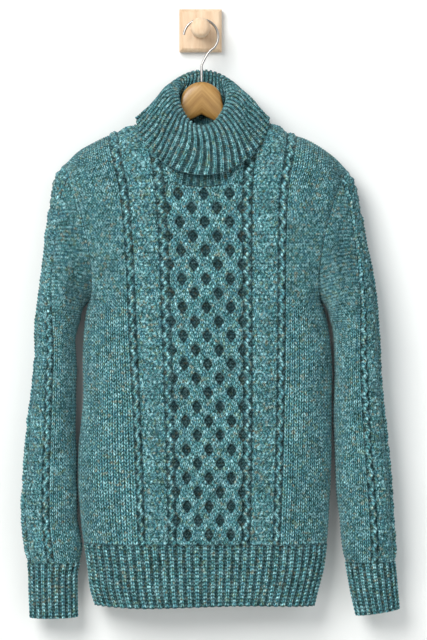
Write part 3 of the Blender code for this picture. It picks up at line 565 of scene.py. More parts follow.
def honeycomb_relief(column, course, crest):
    """Cords that part and meet round recessed cells."""
    pitch = HONEYCOMB_HALF / 1.5
    row = course / REPEAT
    rise = np.zeros_like(row + column)
    wave = swing_wave(row)
    swing = CORD_SWING * wave
    depth = ease((np.abs(wave) - 0.05) / 0.3)
    half = pitch / 4 - (pitch / 4 - CORD_HALF) * np.minimum(np.abs(wave), 1)
    height = 1.0 - (1.0 - CELL_FLOOR) * depth + 0.5 * (1 - crest) + 0 * rise
    wale = column / FLOOR_WALE + 0 * rise
    lift = 0.35 * np.cos(4 * np.pi * row)
    for sign in (-1, 1):
        place = (column - sign * (pitch / 4 + swing) + pitch / 2) % pitch - pitch / 2
        cord = cord_relief(place, half, 2, crest, CORD + sign * lift)
        cord_rise, cord_height, cord_wale, on = cord
        better = on & (cord_height > height)
        rise = np.where(better, cord_rise, rise)
        wale = np.where(better, cord_wale, wale)
        height = np.where(better, cord_height, height)
    return rise, height, wale


def plait_relief(offset, width, course, crest):
    """Three strands of three wales; each half crosses over the middle in turn."""
    share = offset / width
    row = course / REPEAT
    rise = np.zeros_like(share + row)
    height = purl_relief(crest, share * 6) + 0 * rise
    wale = share * 6 + 0 * rise
    for strand in range(3):
        phase = row + strand / 3.0
        centre = 0.5 + 0.33 * np.cos(2 * np.pi * phase)
        lift = 0.66 + 0.34 * np.cos(4 * np.pi * phase + np.pi)
        local = (share - centre) / 0.235
        strand_wale = (np.clip(local, -1, 1) + 1) * 1.5
        strand_rise, leg = legs(strand_wale, crest)
        crown = np.sqrt(np.maximum(0, 1 - np.abs(local) ** 3))
        top = PURL + (PLAIT - PURL) * lift * crown + leg * crown
        better = (np.abs(local) < 1) & (top > height)
        rise = np.where(better, strand_rise, rise)
        wale = np.where(better, strand_wale, wale)
        height = np.where(better, top, height)
    return rise, height, wale


def zigzag_relief(offset, half, sway, course, crest, across):
    """One narrow cord that swings from side to side over purl ground."""
    swing = sway * (1 - 4 * np.minimum((course / 4) % 1, 1 - (course / 4) % 1))
    rise, height, wale, on = cord_relief(offset - swing, half, 0.5, crest, ZIGZAG + 0.9)
    ground = purl_relief(crest, across) - 0.4
    height = np.where(on, np.maximum(height, ground), ground)
    return np.where(on, rise, 0), height, np.where(on, wale, across)


def front_relief(column, wale, course, crest):
    """Rise of the course line and height over plain cloth, for the whole front."""
    distance = np.abs(column)
    rise, leg = legs(wale, crest)
    parts = [
        (distance < HONEYCOMB_HALF, honeycomb_relief(distance, course, crest)),
        ((distance >= HONEYCOMB_HALF) & (distance < CABLE_FROM),
         zigzag_relief(distance - INNER_ZIGZAG, 2.8, 3.0, course, crest, distance / 3)),
        ((distance >= CABLE_FROM) & (distance < CABLE_TO),
         plait_relief(distance - CABLE_FROM, CABLE_TO - CABLE_FROM, course, crest)),
        ((distance >= CABLE_TO) & (distance < PATTERN_EDGE),
         zigzag_relief(distance - OUTER_ZIGZAG, 2.5, 2.2, course, crest, distance / 3)),
    ]
    height = leg
    for inside, (part_rise, part_height, part_wale) in parts:
        rise = np.where(inside, part_rise, rise)
        height = np.where(inside, part_height, height)
        wale = np.where(inside, part_wale, wale)
    return rise, height, wale


def sleeve_relief(offset, wale, course, crest):
    distance = np.abs(offset)
    rise, leg = legs(wale, crest)
    plait = plait_relief(offset + 12.5, 25.0, course, crest)
    zigzag = zigzag_relief(distance - 17.5, 2.5, 2.2, course, crest, distance / 3)
    inside, beside = distance < 12.5, (distance >= 12.5) & (distance < SLEEVE_PATTERN_EDGE)
    return [np.where(inside, a, np.where(beside, b, c)) for a, b, c in zip(plait, zigzag, (rise, leg, wale))]


def rib_relief(ribs, crest, height):
    """One knit, one purl: ribs is counted in ribs, the knit one in the middle of each."""
    share = ribs % 1.0
    knit = (share > 0.22) & (share < 0.78)
    wale = (share - 0.22) / 0.56
    rise, leg = legs(wale, crest)
    wave = -np.cos(2 * np.pi * share)
    level = np.where(wave > 0, height * wave, 1.3 * height * wave)
    return np.where(knit, rise, 0), level + np.where(knit, 0.7 * leg, 0.3 * (1 - crest)), wale


# Closed shells of cloth

def stitch_rows(rows, columns):
    """Course, crest and distance to the nearer end for each point, two rows to a course."""
    level = np.zeros((1, columns))
    row = np.arange(rows)[:, None]
    return row / 2 + level, row % 2 + level, np.minimum(row, rows - 1 - row)


def from_sides(columns):
    return np.minimum(np.arange(columns), columns - 1 - np.arange(columns))[None, :]


def grid_normals(points, closed, outward):
    if closed:
        across = np.roll(points, -1, axis=1) - np.roll(points, 1, axis=1)
    else:
        across = np.gradient(points, axis=1)
    n = unit(np.cross(across, np.gradient(points, axis=0)))
    return n * (1 if np.sum(n * outward) > 0 else -1)


def soft_noise(points, size, seed):
    """Smooth uneven wave over the cloth, about -1 to 1."""
    rng = np.random.default_rng(seed)
    total = 0
    for _ in range(7):
        way = unit(rng.normal(size=3) * (1, 0.5, 0.8)) * rng.uniform(0.6, 1.5) * 2 * np.pi / size
        total = total + np.sin(points @ way + rng.uniform(0, 6.3))
    return total / 3.2


def creased(points, table):
    """Height of the named troughs and ridges, each along a line seen from the front."""
    total = np.zeros(points.shape[:-1])
    for x0, z0, x1, z1, width, height in table:
        run = np.array([x1 - x0, z1 - z0], float)
        at = points[..., (0, 2)] - (x0, z0)
        share = np.clip(at @ run / (run @ run), -0.25, 1.25)
        gap = np.linalg.norm(at - share[..., None] * run, axis=-1)
        taper = np.sin(np.pi * np.clip((share + 0.25) / 1.5, 0, 1)) ** 0.7
        total = total + height * taper * np.exp(-(gap / width) ** 2)
    return total


def raise_up(points, normal, rise, height, fade, upward):
    """Moves the points by the stitches' rise along the cloth and their height off it."""
    along = unit(np.gradient(points, axis=0)) * (1 if upward else -1)
    return points + (along * (rise * COURSE)[..., None] + normal * height[..., None]) * fade[..., None]


class Shell:
    """Outer grid of fine points over a plain inner one, joined along the free edges.

    shared maps each grid point to the point it coincides with, so that courses that end at a
    seam leave no empty faces behind.
    """

    def __init__(self, outer, inner, shared, closed, keep_rows, keep_columns, uv, relief):
        self.rows, self.columns = outer.shape[:2]
        self.shared, self.closed = shared, closed
        self.keep_rows, self.keep_columns = keep_rows, keep_columns
        kept = np.ix_(keep_rows, keep_columns)
        self.corners = np.concatenate([outer.reshape(-1, 3), inner[kept].reshape(-1, 3)])
        self.uv = np.concatenate([uv.reshape(-1, 2), uv[kept].reshape(-1, 2)])
        self.relief = np.concatenate([relief.ravel(), relief[kept].ravel() * 0])
        self.faces, self.places = [], []

    def face(self, corners, places):
        keep = [k for k in range(len(corners)) if corners[k] != corners[k - 1]]
        if len(keep) > 2:
            self.faces.append([int(corners[k]) for k in keep])
            self.places.append([int(places[k]) for k in keep])

    def grid(self, index, places):
        turn = 1 if self.closed else 0
        ring = list(range(index.shape[1])) + [0] * turn
        a, b = index[:, ring], places[:, ring]
        quads = np.stack([a[:-1, :-1], a[:-1, 1:], a[1:, 1:], a[1:, :-1]], axis=-1).reshape(-1, 4)
        spots = np.stack([b[:-1, :-1], b[:-1, 1:], b[1:, 1:], b[1:, :-1]], axis=-1).reshape(-1, 4)
        whole = (quads != np.roll(quads, 1, axis=1)).all(axis=1)
        self.faces += quads[whole].tolist()
        self.places += spots[whole].tolist()
        for corners, where in zip(quads[~whole], spots[~whole]):
            self.face(corners, where)

    def strip(self, a, at_a, b, at_b):
        i = j = 0
        while i < len(a) - 1 or j < len(b) - 1:
            if j == len(b) - 1 or (i < len(a) - 1 and at_a[i + 1] + at_a[i] <= at_b[j + 1] + at_b[j]):
                self.face([a[i], a[i + 1], b[j]], [a[i], a[i + 1], b[j]])
                i += 1
            else:
                self.face([a[i], b[j + 1], b[j]], [a[i], b[j + 1], b[j]])
                j += 1

    def build(self, name, material):
        count = self.rows * self.columns
        own = np.arange(count).reshape(self.rows, self.columns)
        outer = self.shared
        kept = np.ix_(self.keep_rows, self.keep_columns)
        small = count + np.arange(len(self.keep_rows) * len(self.keep_columns))
        small = small.reshape(len(self.keep_rows), len(self.keep_columns))
        first = {}
        inner = small.copy()
        for spot, number in zip(np.ndindex(small.shape), self.shared[kept].ravel()):
            inner[spot] = first.setdefault(int(number), small[spot])
        self.grid(outer, own)
        self.grid(inner[:, ::-1], small[:, ::-1])
        rows, columns = range(self.rows), range(self.columns)
        for end in (0, -1):
            a, b = list(outer[end]), list(inner[end])
            at, kept_at = list(columns), list(self.keep_columns)
            if self.closed:
                a, b, at, kept_at = a + a[:1], b + b[:1], at + [self.columns], kept_at + [self.columns]
            self.strip(a, at, b, kept_at)
            if not self.closed:
                self.strip(list(outer[:, end]), list(rows), list(inner[:, end]), list(self.keep_rows))
        used = np.unique(np.concatenate([np.array(f) for f in self.faces]))
        number = np.zeros(len(self.corners), int)
        number[used] = np.arange(len(used))
        mesh = bpy.data.meshes.new(name)
        faces = [[int(number[c]) for c in face] for face in self.faces]
        mesh.from_pydata((self.corners[used] * MM).tolist(), [], faces)
        layer = mesh.uv_layers.new(name="stitches")
        spots = np.concatenate([np.array(p) for p in self.places])
        layer.data.foreach_set("uv", self.uv[spots].ravel())
        # Height of the stitches over the cloth; the wool's colour darkens where it is low, as painted shade.
        relief = mesh.attributes.new("relief", "FLOAT", "POINT")
        relief.data.foreach_set("value", self.relief[used])
        mesh.validate()
        turn_outward(mesh)
        return place(name, mesh, material)


def turn_outward(mesh):
    """Turns every face away from the inside of its closed shell."""
    work = bmesh.new()
    work.from_mesh(mesh)
    bmesh.ops.recalc_face_normals(work, faces=work.faces[:])
    work.to_mesh(mesh)
    work.free()


def place(name, mesh, material):
    mesh.shade_smooth()
    mesh.materials.append(material)
    obj = bpy.data.objects.new(name, mesh)
    bpy.context.scene.collection.objects.link(obj)
    return obj


# Cloth pieces

def fold_rows(rows, step):
    return sorted(set(list(range(0, rows, step)) + [rows - 1]))


def wale_offsets(front):
    """Columns of one half, four to a stitch: their place, share of the edge, and stitch count."""
    pattern = np.concatenate([
        np.arange(0, 48) * HONEYCOMB_HALF / 48,
        np.linspace(HONEYCOMB_HALF, CABLE_FROM, 14)[:-1],
        np.linspace(CABLE_FROM, CABLE_TO, PLAIT_STEPS)[:-1],
        np.linspace(CABLE_TO, PATTERN_EDGE, 11)[:-1],
    ])
    if not front:
        pattern = np.arange(0, 72) * PATTERN_EDGE / 72
    outside = PATTERN_EDGE + np.linspace(0, 100, 4 * EDGE_WALES + 1)
    place = np.concatenate([pattern, outside])
    wales = np.arange(len(place)) / 4
    wales = wales - wales[len(pattern)]
    if not front:
        wales = np.arange(len(place)) / 4
    return place, wales


def make_panel(name, front, material):
    """Front or back, and the line on it from which the neck band rises."""
    half, wales = wale_offsets(front)
    levels = np.arange(HEM_TOP, FIRST_CELL_Z + REGULAR_ROWS * COURSE_PAIR + 0.1, COURSE / 2)
    points, clip = body_surface(half, front, levels, YOKE_LINES)
    rows, columns = points.shape[:2]
    column = np.concatenate([-half[:0:-1], half])
    wale = np.concatenate([-wales[:0:-1], wales])
    course, crest, _ = stitch_rows(rows, columns)
    course = (HEM_TOP - FIRST_CELL_Z) / COURSE + course
    n = grid_normals(points, False, np.array([0, -1 if front else 1, 0]))
    if front:
        rise, height, wale = front_relief(column[None, :], wale[None, :] + 0 * course, course, crest)
        closed = ease((points[..., 2] - BAND_FOOT_Z - 2) / 5) * (np.abs(column) < HONEYCOMB_HALF)
        height = height * (1 - closed) + np.maximum(height, 0.8) * closed
    else:
        wale = wale[None, :] + 0 * course
        rise, height = legs(wale, crest)
    from_top = clip[None, :] - np.arange(rows)[:, None]
    side = from_sides(columns)
    fade = np.clip(from_top / 5.0, 0, 1) * np.clip(np.arange(rows)[:, None] / 3.0, 0, 1)
    fade = fade * np.clip(side / 3.0, 0, 1)
    outer = raise_up(points, n, rise, height, fade, True)
    drape = cloth_folds(points, front)
    drape = drape * np.clip(from_top / 16.0, 0, 1) * np.clip(side / 10.0, 0, 1)
    outer = outer + n * drape[..., None]
    inner = points + n * (drape - WALL)[..., None]
    own = np.arange(rows * columns).reshape(rows, columns)
    shared = np.where(np.arange(rows)[:, None] > clip[None, :], own[clip, np.arange(columns)][None, :], own)
    uv = np.stack([wale, course], axis=-1)
    shell = Shell(outer, inner, shared, False, fold_rows(rows, 8), fold_rows(columns, 6), uv, height)
    neck = np.flatnonzero(np.abs(column) <= NECK_COLUMN + 0.01)
    edge = points[-1, neck]
    if front:
        foot = np.argmin(np.abs(points[:, neck, 2] - BAND_FOOT_Z), axis=0)
        low = points[foot, neck] + BAND_OFF * n[foot, neck]
        share = ease((BAND_HALF - np.abs(edge[:, :1] - COLLAR_X)) / BAND_BLEND)
        edge = edge * (1 - share) + low * share
    return shell.build(name, material), edge


def cloth_folds(points, front):
    """Soft uneven troughs and ridges of the hanging body, in millimetres."""
    waves = 0.9 * soft_noise(points * (1.5, 1, 0.7), 90.0, 11 if front else 12)
    waves = waves + 0.45 * soft_noise(points * (1.5, 1, 0.7), 40.0, 13 if front else 14)
    return waves + creased(points, BODY_CREASES) if front else waves


def make_sleeve(name, table, side, material, seed):
    """Sleeve knitted round from the shoulder down; stitches past half way round meet in a seam."""
    rows = (SLEEVE_ROWS - 1) * 4 + 1
    pattern = np.concatenate([np.linspace(0, 12.5, 17)[:-1], np.linspace(12.5, 22.5, 11)])
    plain = SLEEVE_PATTERN_EDGE + np.arange(1, 4 * 38) * PITCH / 4
    half = np.concatenate([pattern, plain])
    offsets = np.concatenate([-half[:0:-1], half])
    points, halves = sleeve_surface(table, side, rows, offsets)
    columns = len(offsets)
    edge = np.where(np.abs(offsets) > SLEEVE_PATTERN_EDGE, np.abs(offsets) - SLEEVE_PATTERN_EDGE, 0) / PITCH
    wale = np.sign(offsets) * edge
    course, crest, near = stitch_rows(rows, columns)
    n = grid_normals(points, False, points - points.mean(axis=1, keepdims=True))
    room = halves[:, None] - np.abs(offsets)[None, :]
    across, wale = offsets[None, :] + 0 * course, wale[None, :] + 0 * course
    rise, height, wale = sleeve_relief(across, wale, course, crest)
    fade = np.clip(near / 4.0, 0, 1) * np.clip(room / 6.0, 0, 1)
    length = np.linalg.norm(np.gradient(points, axis=0), axis=2) * 4
    outer = raise_up(points, n, rise * np.clip(length / COURSE_PAIR, 0.2, 1), height, fade, True)
    folds = 1.2 * soft_noise(points * (1, 1, 0.9), 70.0, seed) + 0.5 * soft_noise(points, 34.0, seed + 1)
    folds = folds + creased(points, SLEEVE_CREASES) * (points[..., 1] < MID_Y)
    folds = folds * np.clip(near / 24.0, 0, 1) * np.clip(room / 10.0, 0, 1)
    outer = outer + n * folds[..., None]
    inner = points + n * (folds - WALL)[..., None]
    own = np.arange(rows * columns).reshape(rows, columns)
    fit = np.array([np.flatnonzero(np.abs(offsets) < h) for h in halves], dtype=object)
    shared = own.copy()
    for i, inside in enumerate(fit):
        shared[i, :inside[0]] = shared[i, inside[-1] + 1:] = own[i, 0]
        outer[i, 0] = inner[i, 0] + n[i, 0] * WALL
    uv = np.stack([wale, course], axis=-1)
    middle_column = columns // 2
    keep = [k for k in range(columns) if (k - middle_column) % 8 == 0 or k in (0, columns - 1)]
    shell = Shell(outer, inner, shared, True, fold_rows(rows, 8), keep, uv, height)
    return shell.build(name, material)


def ribbed_shell(name, outer, inner, wale, course, height, row_step, material):
    """Shell of a tube whose points stand evenly round its ribs."""
    rows, columns = outer.shape[:2]
    own = np.arange(rows * columns).reshape(rows, columns)
    uv = np.stack([wale, course], axis=-1)
    keep = list(range(0, columns, RIB_POINTS // 2))
    shell = Shell(outer, inner, own, True, fold_rows(rows, row_step), keep, uv, height)
    return shell.build(name, material)


def make_ribbed_tube(name, points, relief, wall, row_step, material):
    rows, columns = points.shape[:2]
    course, crest, near = stitch_rows(rows, columns)
    n = grid_normals(points, True, points - points.mean(axis=1, keepdims=True))
    ribs = np.arange(columns)[None, :] / RIB_POINTS
    rise, height, wale = rib_relief(ribs + 0 * course, crest, relief)
    fade = np.clip(near / 2.0, 0, 1) + np.zeros((1, columns))
    outer = raise_up(points, n, rise * fade, height, np.ones_like(fade), False)
    return ribbed_shell(name, outer, points - n * wall, wale, course, height, row_step, material)


def make_cuff(name, table, material):
    points = even_surface(table, CUFF_LINES, CUFF_RIBS * RIB_POINTS)
    points[0, :, 2] -= SEAM
    return make_ribbed_tube(name, points, RIB, RIB_WALL, 8, material)


def make_hem(name, front, material):
    """Ribbing below the panel. Its top is the loose end of the courses, its bottom edge waves."""
    shares = np.linspace(0, 100, HEM_RIBS * 5 + 1)
    levels = np.linspace(HEM_TOP - SEAM, HEM_FOOT, HEM_LINES)
    grids = []
    for side in (-1, 1):
        grid = []
        for z in levels:
            x, depth = body_row(shares, z, side, front, 0.0)
            grid.append(np.column_stack([x, depth, np.full(len(x), z)]))
        grids.append(np.array(grid))
    points = np.concatenate([grids[0][:, :0:-1], grids[1]], axis=1)
    y = points[:, :, 1] + SEAM / 2
    points[:, :, 1] = MID_Y + (-y if front else y)
    drop = 1.6 * np.sin(points[..., 0] / 42.0)
    points[..., 2] += drop * ease((HEM_TOP - points[..., 2] - 60) / 22)
    rows, columns = points.shape[:2]
    signed = np.concatenate([-shares[:0:-1], shares])
    ribs = np.abs(signed) * HEM_RIBS / 200.0
    course, crest, near = stitch_rows(rows, columns)
    n = grid_normals(points, False, np.array([0, -1 if front else 1, 0]))
    n[:, 0], n[:, -1] = (-1, 0, 0), (1, 0, 0)
    rise, height, wale = rib_relief(ribs[None, :] + 0 * course, crest, RIB)
    side = from_sides(columns)
    fade = np.clip(near / 2.0, 0, 1) * np.clip(side / 2.0, 0, 1)
    outer = raise_up(points, n, rise * fade, height, np.clip(side / 2.0, 0, 1) + 0 * fade, False)
    waves = 0.5 * soft_noise(points, 60.0, 21 if front else 22) * np.clip(side / 10.0, 0, 1)
    outer = outer + n * (waves * np.clip(np.arange(rows)[:, None] / 8.0, 0, 1))[..., None]
    inner = points - n * RIB_WALL
    own = np.arange(rows * columns).reshape(rows, columns)
    uv = np.stack([wale, course], axis=-1)
    shell = Shell(outer, inner, own, False, fold_rows(rows, 7), fold_rows(columns, 5), uv, height)
    return shell.build(name, material)


def neck_places(points, middle_y, half_x, front, back):
    """Angle of each point of a ring round the neck, as a share of the turn from the right side."""
    out = points[:, 1] - middle_y
    turn = np.arctan2(-out / np.where(out < 0, front, back), (points[:, 0] - COLLAR_X) / half_x)
    return (turn / (2 * np.pi)) % 1.0


def swing_round(points, at):
    """Lets the ribs sway sideways on their way down."""
    round_way = (np.roll(points, -1, axis=1) - np.roll(points, 1, axis=1)) / 2
    down = ease((at - 3.0) / 5.0)[:, None]
    turn = 2 * np.pi * np.arange(points.shape[1])[None, :] / points.shape[1]
    sway = 7.0 * down * (0.8 * np.sin(3.2 * down + 2 * turn) + 0.25 * np.sin(7 * turn + 5 * down))
    return points + round_way * sway[..., None]


def collar_faces(rows, count):
    """Shown and hidden face of the collar, its normals, and the table row of each ring."""
    points, at = collar_surface(rows, count)
    points = swing_round(points, at)
    middle = points.mean(axis=1, keepdims=True)
    n = grid_normals(points, True, np.zeros(3))
    n *= np.sign(np.sum(n[-1] * (points[-1] - middle[-1])))
    return points, points - n * COLLAR_WALL, n, at


def make_neck_band(material, front_edge, back_edge):
    """Start of the collar's stand, from the neckline up under the fold, ribbed outside."""
    _, hidden, _, _ = collar_faces(COLLAR_LINES, COLLAR_RIBS * RIB_POINTS)
    top = hidden[0]
    half, _, _, _, front_y, back_y = COLLAR[0]
    places = neck_places(top, COLLAR_SIDE_Y, half, COLLAR_SIDE_Y - front_y, back_y - COLLAR_SIDE_Y)
    edge = np.concatenate([front_edge[::-1], back_edge[1:-1]])
    at = neck_places(edge, MID_Y, *NECK_SHAPE)
    order = np.argsort(at)
    start = np.column_stack([np.interp(places, at[order], edge[order, k], period=1.0) for k in range(3)])
    control = start * 0.55 + top * 0.45
    control[:, 1] = np.where(start[:, 1] < MID_Y, start[:, 1] * 0.9 + top[:, 1] * 0.1, control[:, 1])
    share = np.linspace(0, 1, BAND_LINES)[:, None, None]
    points = (1 - share) ** 2 * start + 2 * share * (1 - share) * control + share ** 2 * top
    return make_ribbed_tube("neck_band_knit", points, 0.8 * RIB, WALL, 6, material)


def make_collar(material):
    """Turtleneck collar: inside of the stand, over the fold and down to the loose edge."""
    count = COLLAR_RIBS * RIB_POINTS
    points, inner, n, at = collar_faces(COLLAR_LINES, count)
    course, crest, near = stitch_rows(COLLAR_LINES, count)
    share = np.interp(at, np.arange(len(COLLAR)), COLLAR_RELIEF)
    ribs = np.arange(count)[None, :] / RIB_POINTS
    rise, height, wale = rib_relief(ribs + 0 * course, crest, RIB * 1.25)
    fade = np.clip(near / 2.0, 0, 1) + np.zeros((1, count))
    outer = raise_up(points, n, rise * fade, height * share[:, None], np.ones_like(fade), True)
    down = ease((at - 3.6) / 2.0)[:, None]
    folds = 1.2 * soft_noise(points, 60.0, 31) + 0.6 * soft_noise(points, 28.0, 32)
    folds = (folds + creased(points, COLLAR_CREASES) * (points[..., 1] < MID_Y)) * down
    outer = outer + n * folds[..., None]
    inner = inner + n * folds[..., None]
    return ribbed_shell("collar_knit", outer, inner, wale, course, height, 8, material)


# Hanger, hook, knob and plate

def turned_mesh(name, rings, material, sharp=40):
    """Closed mesh over rings of the same count of points, with flat ends."""
    count = len(rings[0])
    corners = [tuple(np.array(p) * MM) for ring in rings for p in ring]
    faces = [tuple(range(count))[::-1]]
    for i in range(len(rings) - 1):
        for k in range(count):
            m = (k + 1) % count
            faces.append((i * count + k, i * count + m, (i + 1) * count + m, (i + 1) * count + k))
    faces.append(tuple(range((len(rings) - 1) * count, len(rings) * count)))
    mesh = bpy.data.meshes.new(name)
    mesh.from_pydata(corners, [], faces)
    turn_outward(mesh)
    obj = place(name, mesh, material)
    mesh.set_sharp_from_angle(angle=math.radians(sharp))
    return obj


def make_hanger(material):
    """Shaped wooden hanger, a rounded hump in the middle and two sloping arms."""
    table = np.array([(-d, t, b, h) for d, t, b, h in HANGER[:0:-1]] + list(HANGER), float)
    where = np.unique(np.concatenate([table[:, 0], np.linspace(-HANGER_END, HANGER_END, HANGER_SECTIONS)]))
    read = np.column_stack([np.interp(where, table[:, 0], table[:, k]) for k in (1, 2, 3)])
    hump = np.abs(where) < HUMP
    read[hump, 0] = HANGER_TOP - HUMP + np.sqrt(HUMP ** 2 - where[hump] ** 2)
    rings = []
    for d, (top, bottom, thick) in zip(where, read):
        turn = 2 * np.pi * np.arange(HANGER_SIDES) / HANGER_SIDES
        square = 1 / np.maximum(np.abs(np.cos(turn)), np.abs(np.sin(turn))) ** 0.35
        rings.append(np.column_stack([
            np.full(HANGER_SIDES, HANGER_X + d), HANGER_Y + thick * np.sin(turn) * np.minimum(square, 1.06),
            (top + bottom) / 2 + (top - bottom) / 2 * np.cos(turn)]))
    return turned_mesh("hanger_wood", rings, material)


def hook_path():
    """Round of the hook from its tip, then the bend back to the shank and down to the wood."""
    cx, cz = HOOK_CENTRE
    turn = np.radians(np.arange(174, -46, -4))
    path = [(cx + HOOK_RADIUS * math.cos(a), cz + HOOK_RADIUS * math.sin(a)) for a in turn]
    end = path[-1]
    for t in np.linspace(0.08, 1.0, 13):
        drop = 0.55 * t + 0.45 * t * t * (3 - 2 * t)
        path.append((end[0] + (HANGER_X - end[0]) * (1 - (1 - t) ** 1.6), end[1] - HOOK_BEND * drop))
    path.append((HANGER_X, HANGER_TOP + SEAM))
    return [(x * MM, HANGER_Y * MM, z * MM) for x, z in path]


def converted(obj, name):
    """What the modifiers make of obj, as a plain mesh."""
    graph = bpy.context.evaluated_depsgraph_get()
    mesh = bpy.data.meshes.new_from_object(obj.evaluated_get(graph))
    mesh.name = name
    made = bpy.data.objects.new(name, mesh)
    bpy.context.scene.collection.objects.link(made)
    bpy.data.objects.remove(obj, do_unlink=True)
    return made


def add_node(group, kind, values=(), **settings):
    """New node with its settings and, for each input, a value or the output linked to it."""
    node = group.nodes.new(kind)
    for key, value in settings.items():
        setattr(node, key, value)
    for key, value in dict(values).items():
        if hasattr(value, "is_output"):
            group.links.new(value, node.inputs[key])
        else:
            node.inputs[key].default_value = value
    return node


def tree(name, sockets):
    """Empty Geometry Nodes tree with named inputs, and its two ends."""
    group = bpy.data.node_groups.new(name, "GeometryNodeTree")
    group.interface.new_socket("Geometry", in_out="INPUT", socket_type="NodeSocketGeometry")
    for label, kind, value in sockets:
        socket = group.interface.new_socket(label, in_out="INPUT", socket_type=kind)
        socket.default_value = value
    group.interface.new_socket("Geometry", in_out="OUTPUT", socket_type="NodeSocketGeometry")
    return group, group.nodes.new("NodeGroupInput"), group.nodes.new("NodeGroupOutput")


def finish_tree(group, made, material, result):
    """Ends a tree with real geometry and its material."""
    realize = add_node(group, "GeometryNodeRealizeInstances", {"Geometry": made})
    paint = add_node(group, "GeometryNodeSetMaterial", {
        "Geometry": realize.outputs["Geometry"], "Material": material})
    group.links.new(paint.outputs["Geometry"], result.inputs["Geometry"])


def run_tree(group, mesh, name):
    """What the tree makes of a mesh, as an object with a plain mesh."""
    obj = bpy.data.objects.new("source of " + name, mesh)
    bpy.context.scene.collection.objects.link(obj)
    obj.modifiers.new(group.name, "NODES").node_group = group
    return converted(obj, name)


def make_hook(material):
    """Wire swept along its line with Geometry Nodes."""
    group, source, result = tree("bent wire", [("Radius", "NodeSocketFloat", WIRE * MM)])
    line = add_node(group, "GeometryNodeMeshToCurve", {"Mesh": source.outputs["Geometry"]})
    ring = add_node(group, "GeometryNodeCurvePrimitiveCircle", {
        "Resolution": 20, "Radius": source.outputs["Radius"]})
    sweep = add_node(group, "GeometryNodeCurveToMesh", {
        "Curve": line.outputs["Curve"], "Profile Curve": ring.outputs["Curve"], "Fill Caps": True})
    finish_tree(group, sweep.outputs["Mesh"], material, result)
    path = hook_path()
    mesh = bpy.data.meshes.new("wire line")
    mesh.from_pydata(path, [(i, i + 1) for i in range(len(path) - 1)], [])
    made = run_tree(group, mesh, "hook_wire")
    made.data.shade_smooth()
    made.data.set_sharp_from_angle(angle=math.radians(50))
    turn_outward(made.data)
    return made


def make_knob(material):
    """Turned knob on the wall's axis, from its profile."""
    profile = np.array(KNOB[1:-1], float)
    places = np.arange(len(profile))
    fine = smooth(np.column_stack([places, profile]), np.linspace(1, len(profile) - 1, 44))
    turn = 2 * np.pi * np.arange(56) / 56
    rows = [profile[0]] + list(fine) + [(2.2, 59.85)]
    rings = [np.column_stack([r * np.cos(turn), np.full(56, -d), r * np.sin(turn)]) for r, d in rows]
    return turned_mesh("knob_turned", rings, material, 50)


def make_plate(material):
    """Square plate with a sloping bevel round its face and softened edges."""
    half = PLATE_SIZE / 2
    inset = half - PLATE_BEVEL
    edge = PLATE_BEVEL - PLATE_THICK
    outline = ((half - 0.3, 0.0), (half, -0.4), (half, edge + 0.5), (half - 0.4, edge - 0.4),
               (inset + 0.3, -PLATE_THICK + 0.35), (inset - 0.3, -PLATE_THICK))
    rings = []
    for size, y in outline:
        ring = []
        for corner in range(4):
            for k in range(5):
                turn = math.radians(90 * corner + 22.5 * k)
                cx = (size - PLATE_CORNER) * (1, -1, -1, 1)[corner]
                cz = (size - PLATE_CORNER) * (1, 1, -1, -1)[corner]
                ring.append((cx + PLATE_CORNER * math.cos(turn), y, cz + PLATE_CORNER * math.sin(turn)))
        rings.append(ring)
    return turned_mesh("plate_square", rings, material, 30)


def make_fibres(cloth, material, count, seed):
    """Loose fibres standing off the wool, scattered with Geometry Nodes."""
    group, source, result = tree("loose fibres", [("Count per m2", "NodeSocketFloat", count)])
    scatter = add_node(group, "GeometryNodeDistributePointsOnFaces", {
        "Mesh": source.outputs["Geometry"], "Density": source.outputs["Count per m2"], "Seed": seed})
    arc = add_node(group, "GeometryNodeCurveQuadraticBezier", {
        "Resolution": 3, "Start": (0, 0, -0.0003), "Middle": (0.0002, 0.0009, 0.0009),
        "End": (0.0016, 0.0022, 0.0007)})
    ring = add_node(group, "GeometryNodeCurvePrimitiveCircle", {"Resolution": 3, "Radius": 0.00005})
    hair = add_node(group, "GeometryNodeCurveToMesh", {
        "Curve": arc.outputs["Curve"], "Profile Curve": ring.outputs["Curve"]})
    turn = add_node(group, "FunctionNodeRandomValue", {
        "Min": (-0.5, -0.5, -3.14), "Max": (0.5, 0.5, 3.14), "Seed": seed + 1}, data_type="FLOAT_VECTOR")
    rotate = add_node(group, "FunctionNodeRotateRotation", {
        "Rotation": scatter.outputs["Rotation"], "Rotate By": turn.outputs["Value"]},
        rotation_space="LOCAL")
    size = add_node(group, "FunctionNodeRandomValue", {2: 0.5, 3: 1.3, "Seed": seed + 2})
    spread = add_node(group, "GeometryNodeInstanceOnPoints", {
        "Points": scatter.outputs["Points"], "Instance": hair.outputs["Mesh"],
        "Rotation": rotate.outputs["Rotation"], "Scale": size.outputs[1]})
    finish_tree(group, spread.outputs["Instances"], material, result)
    return run_tree(group, cloth.data.copy(), cloth.name + "_fibres")


# Finishes

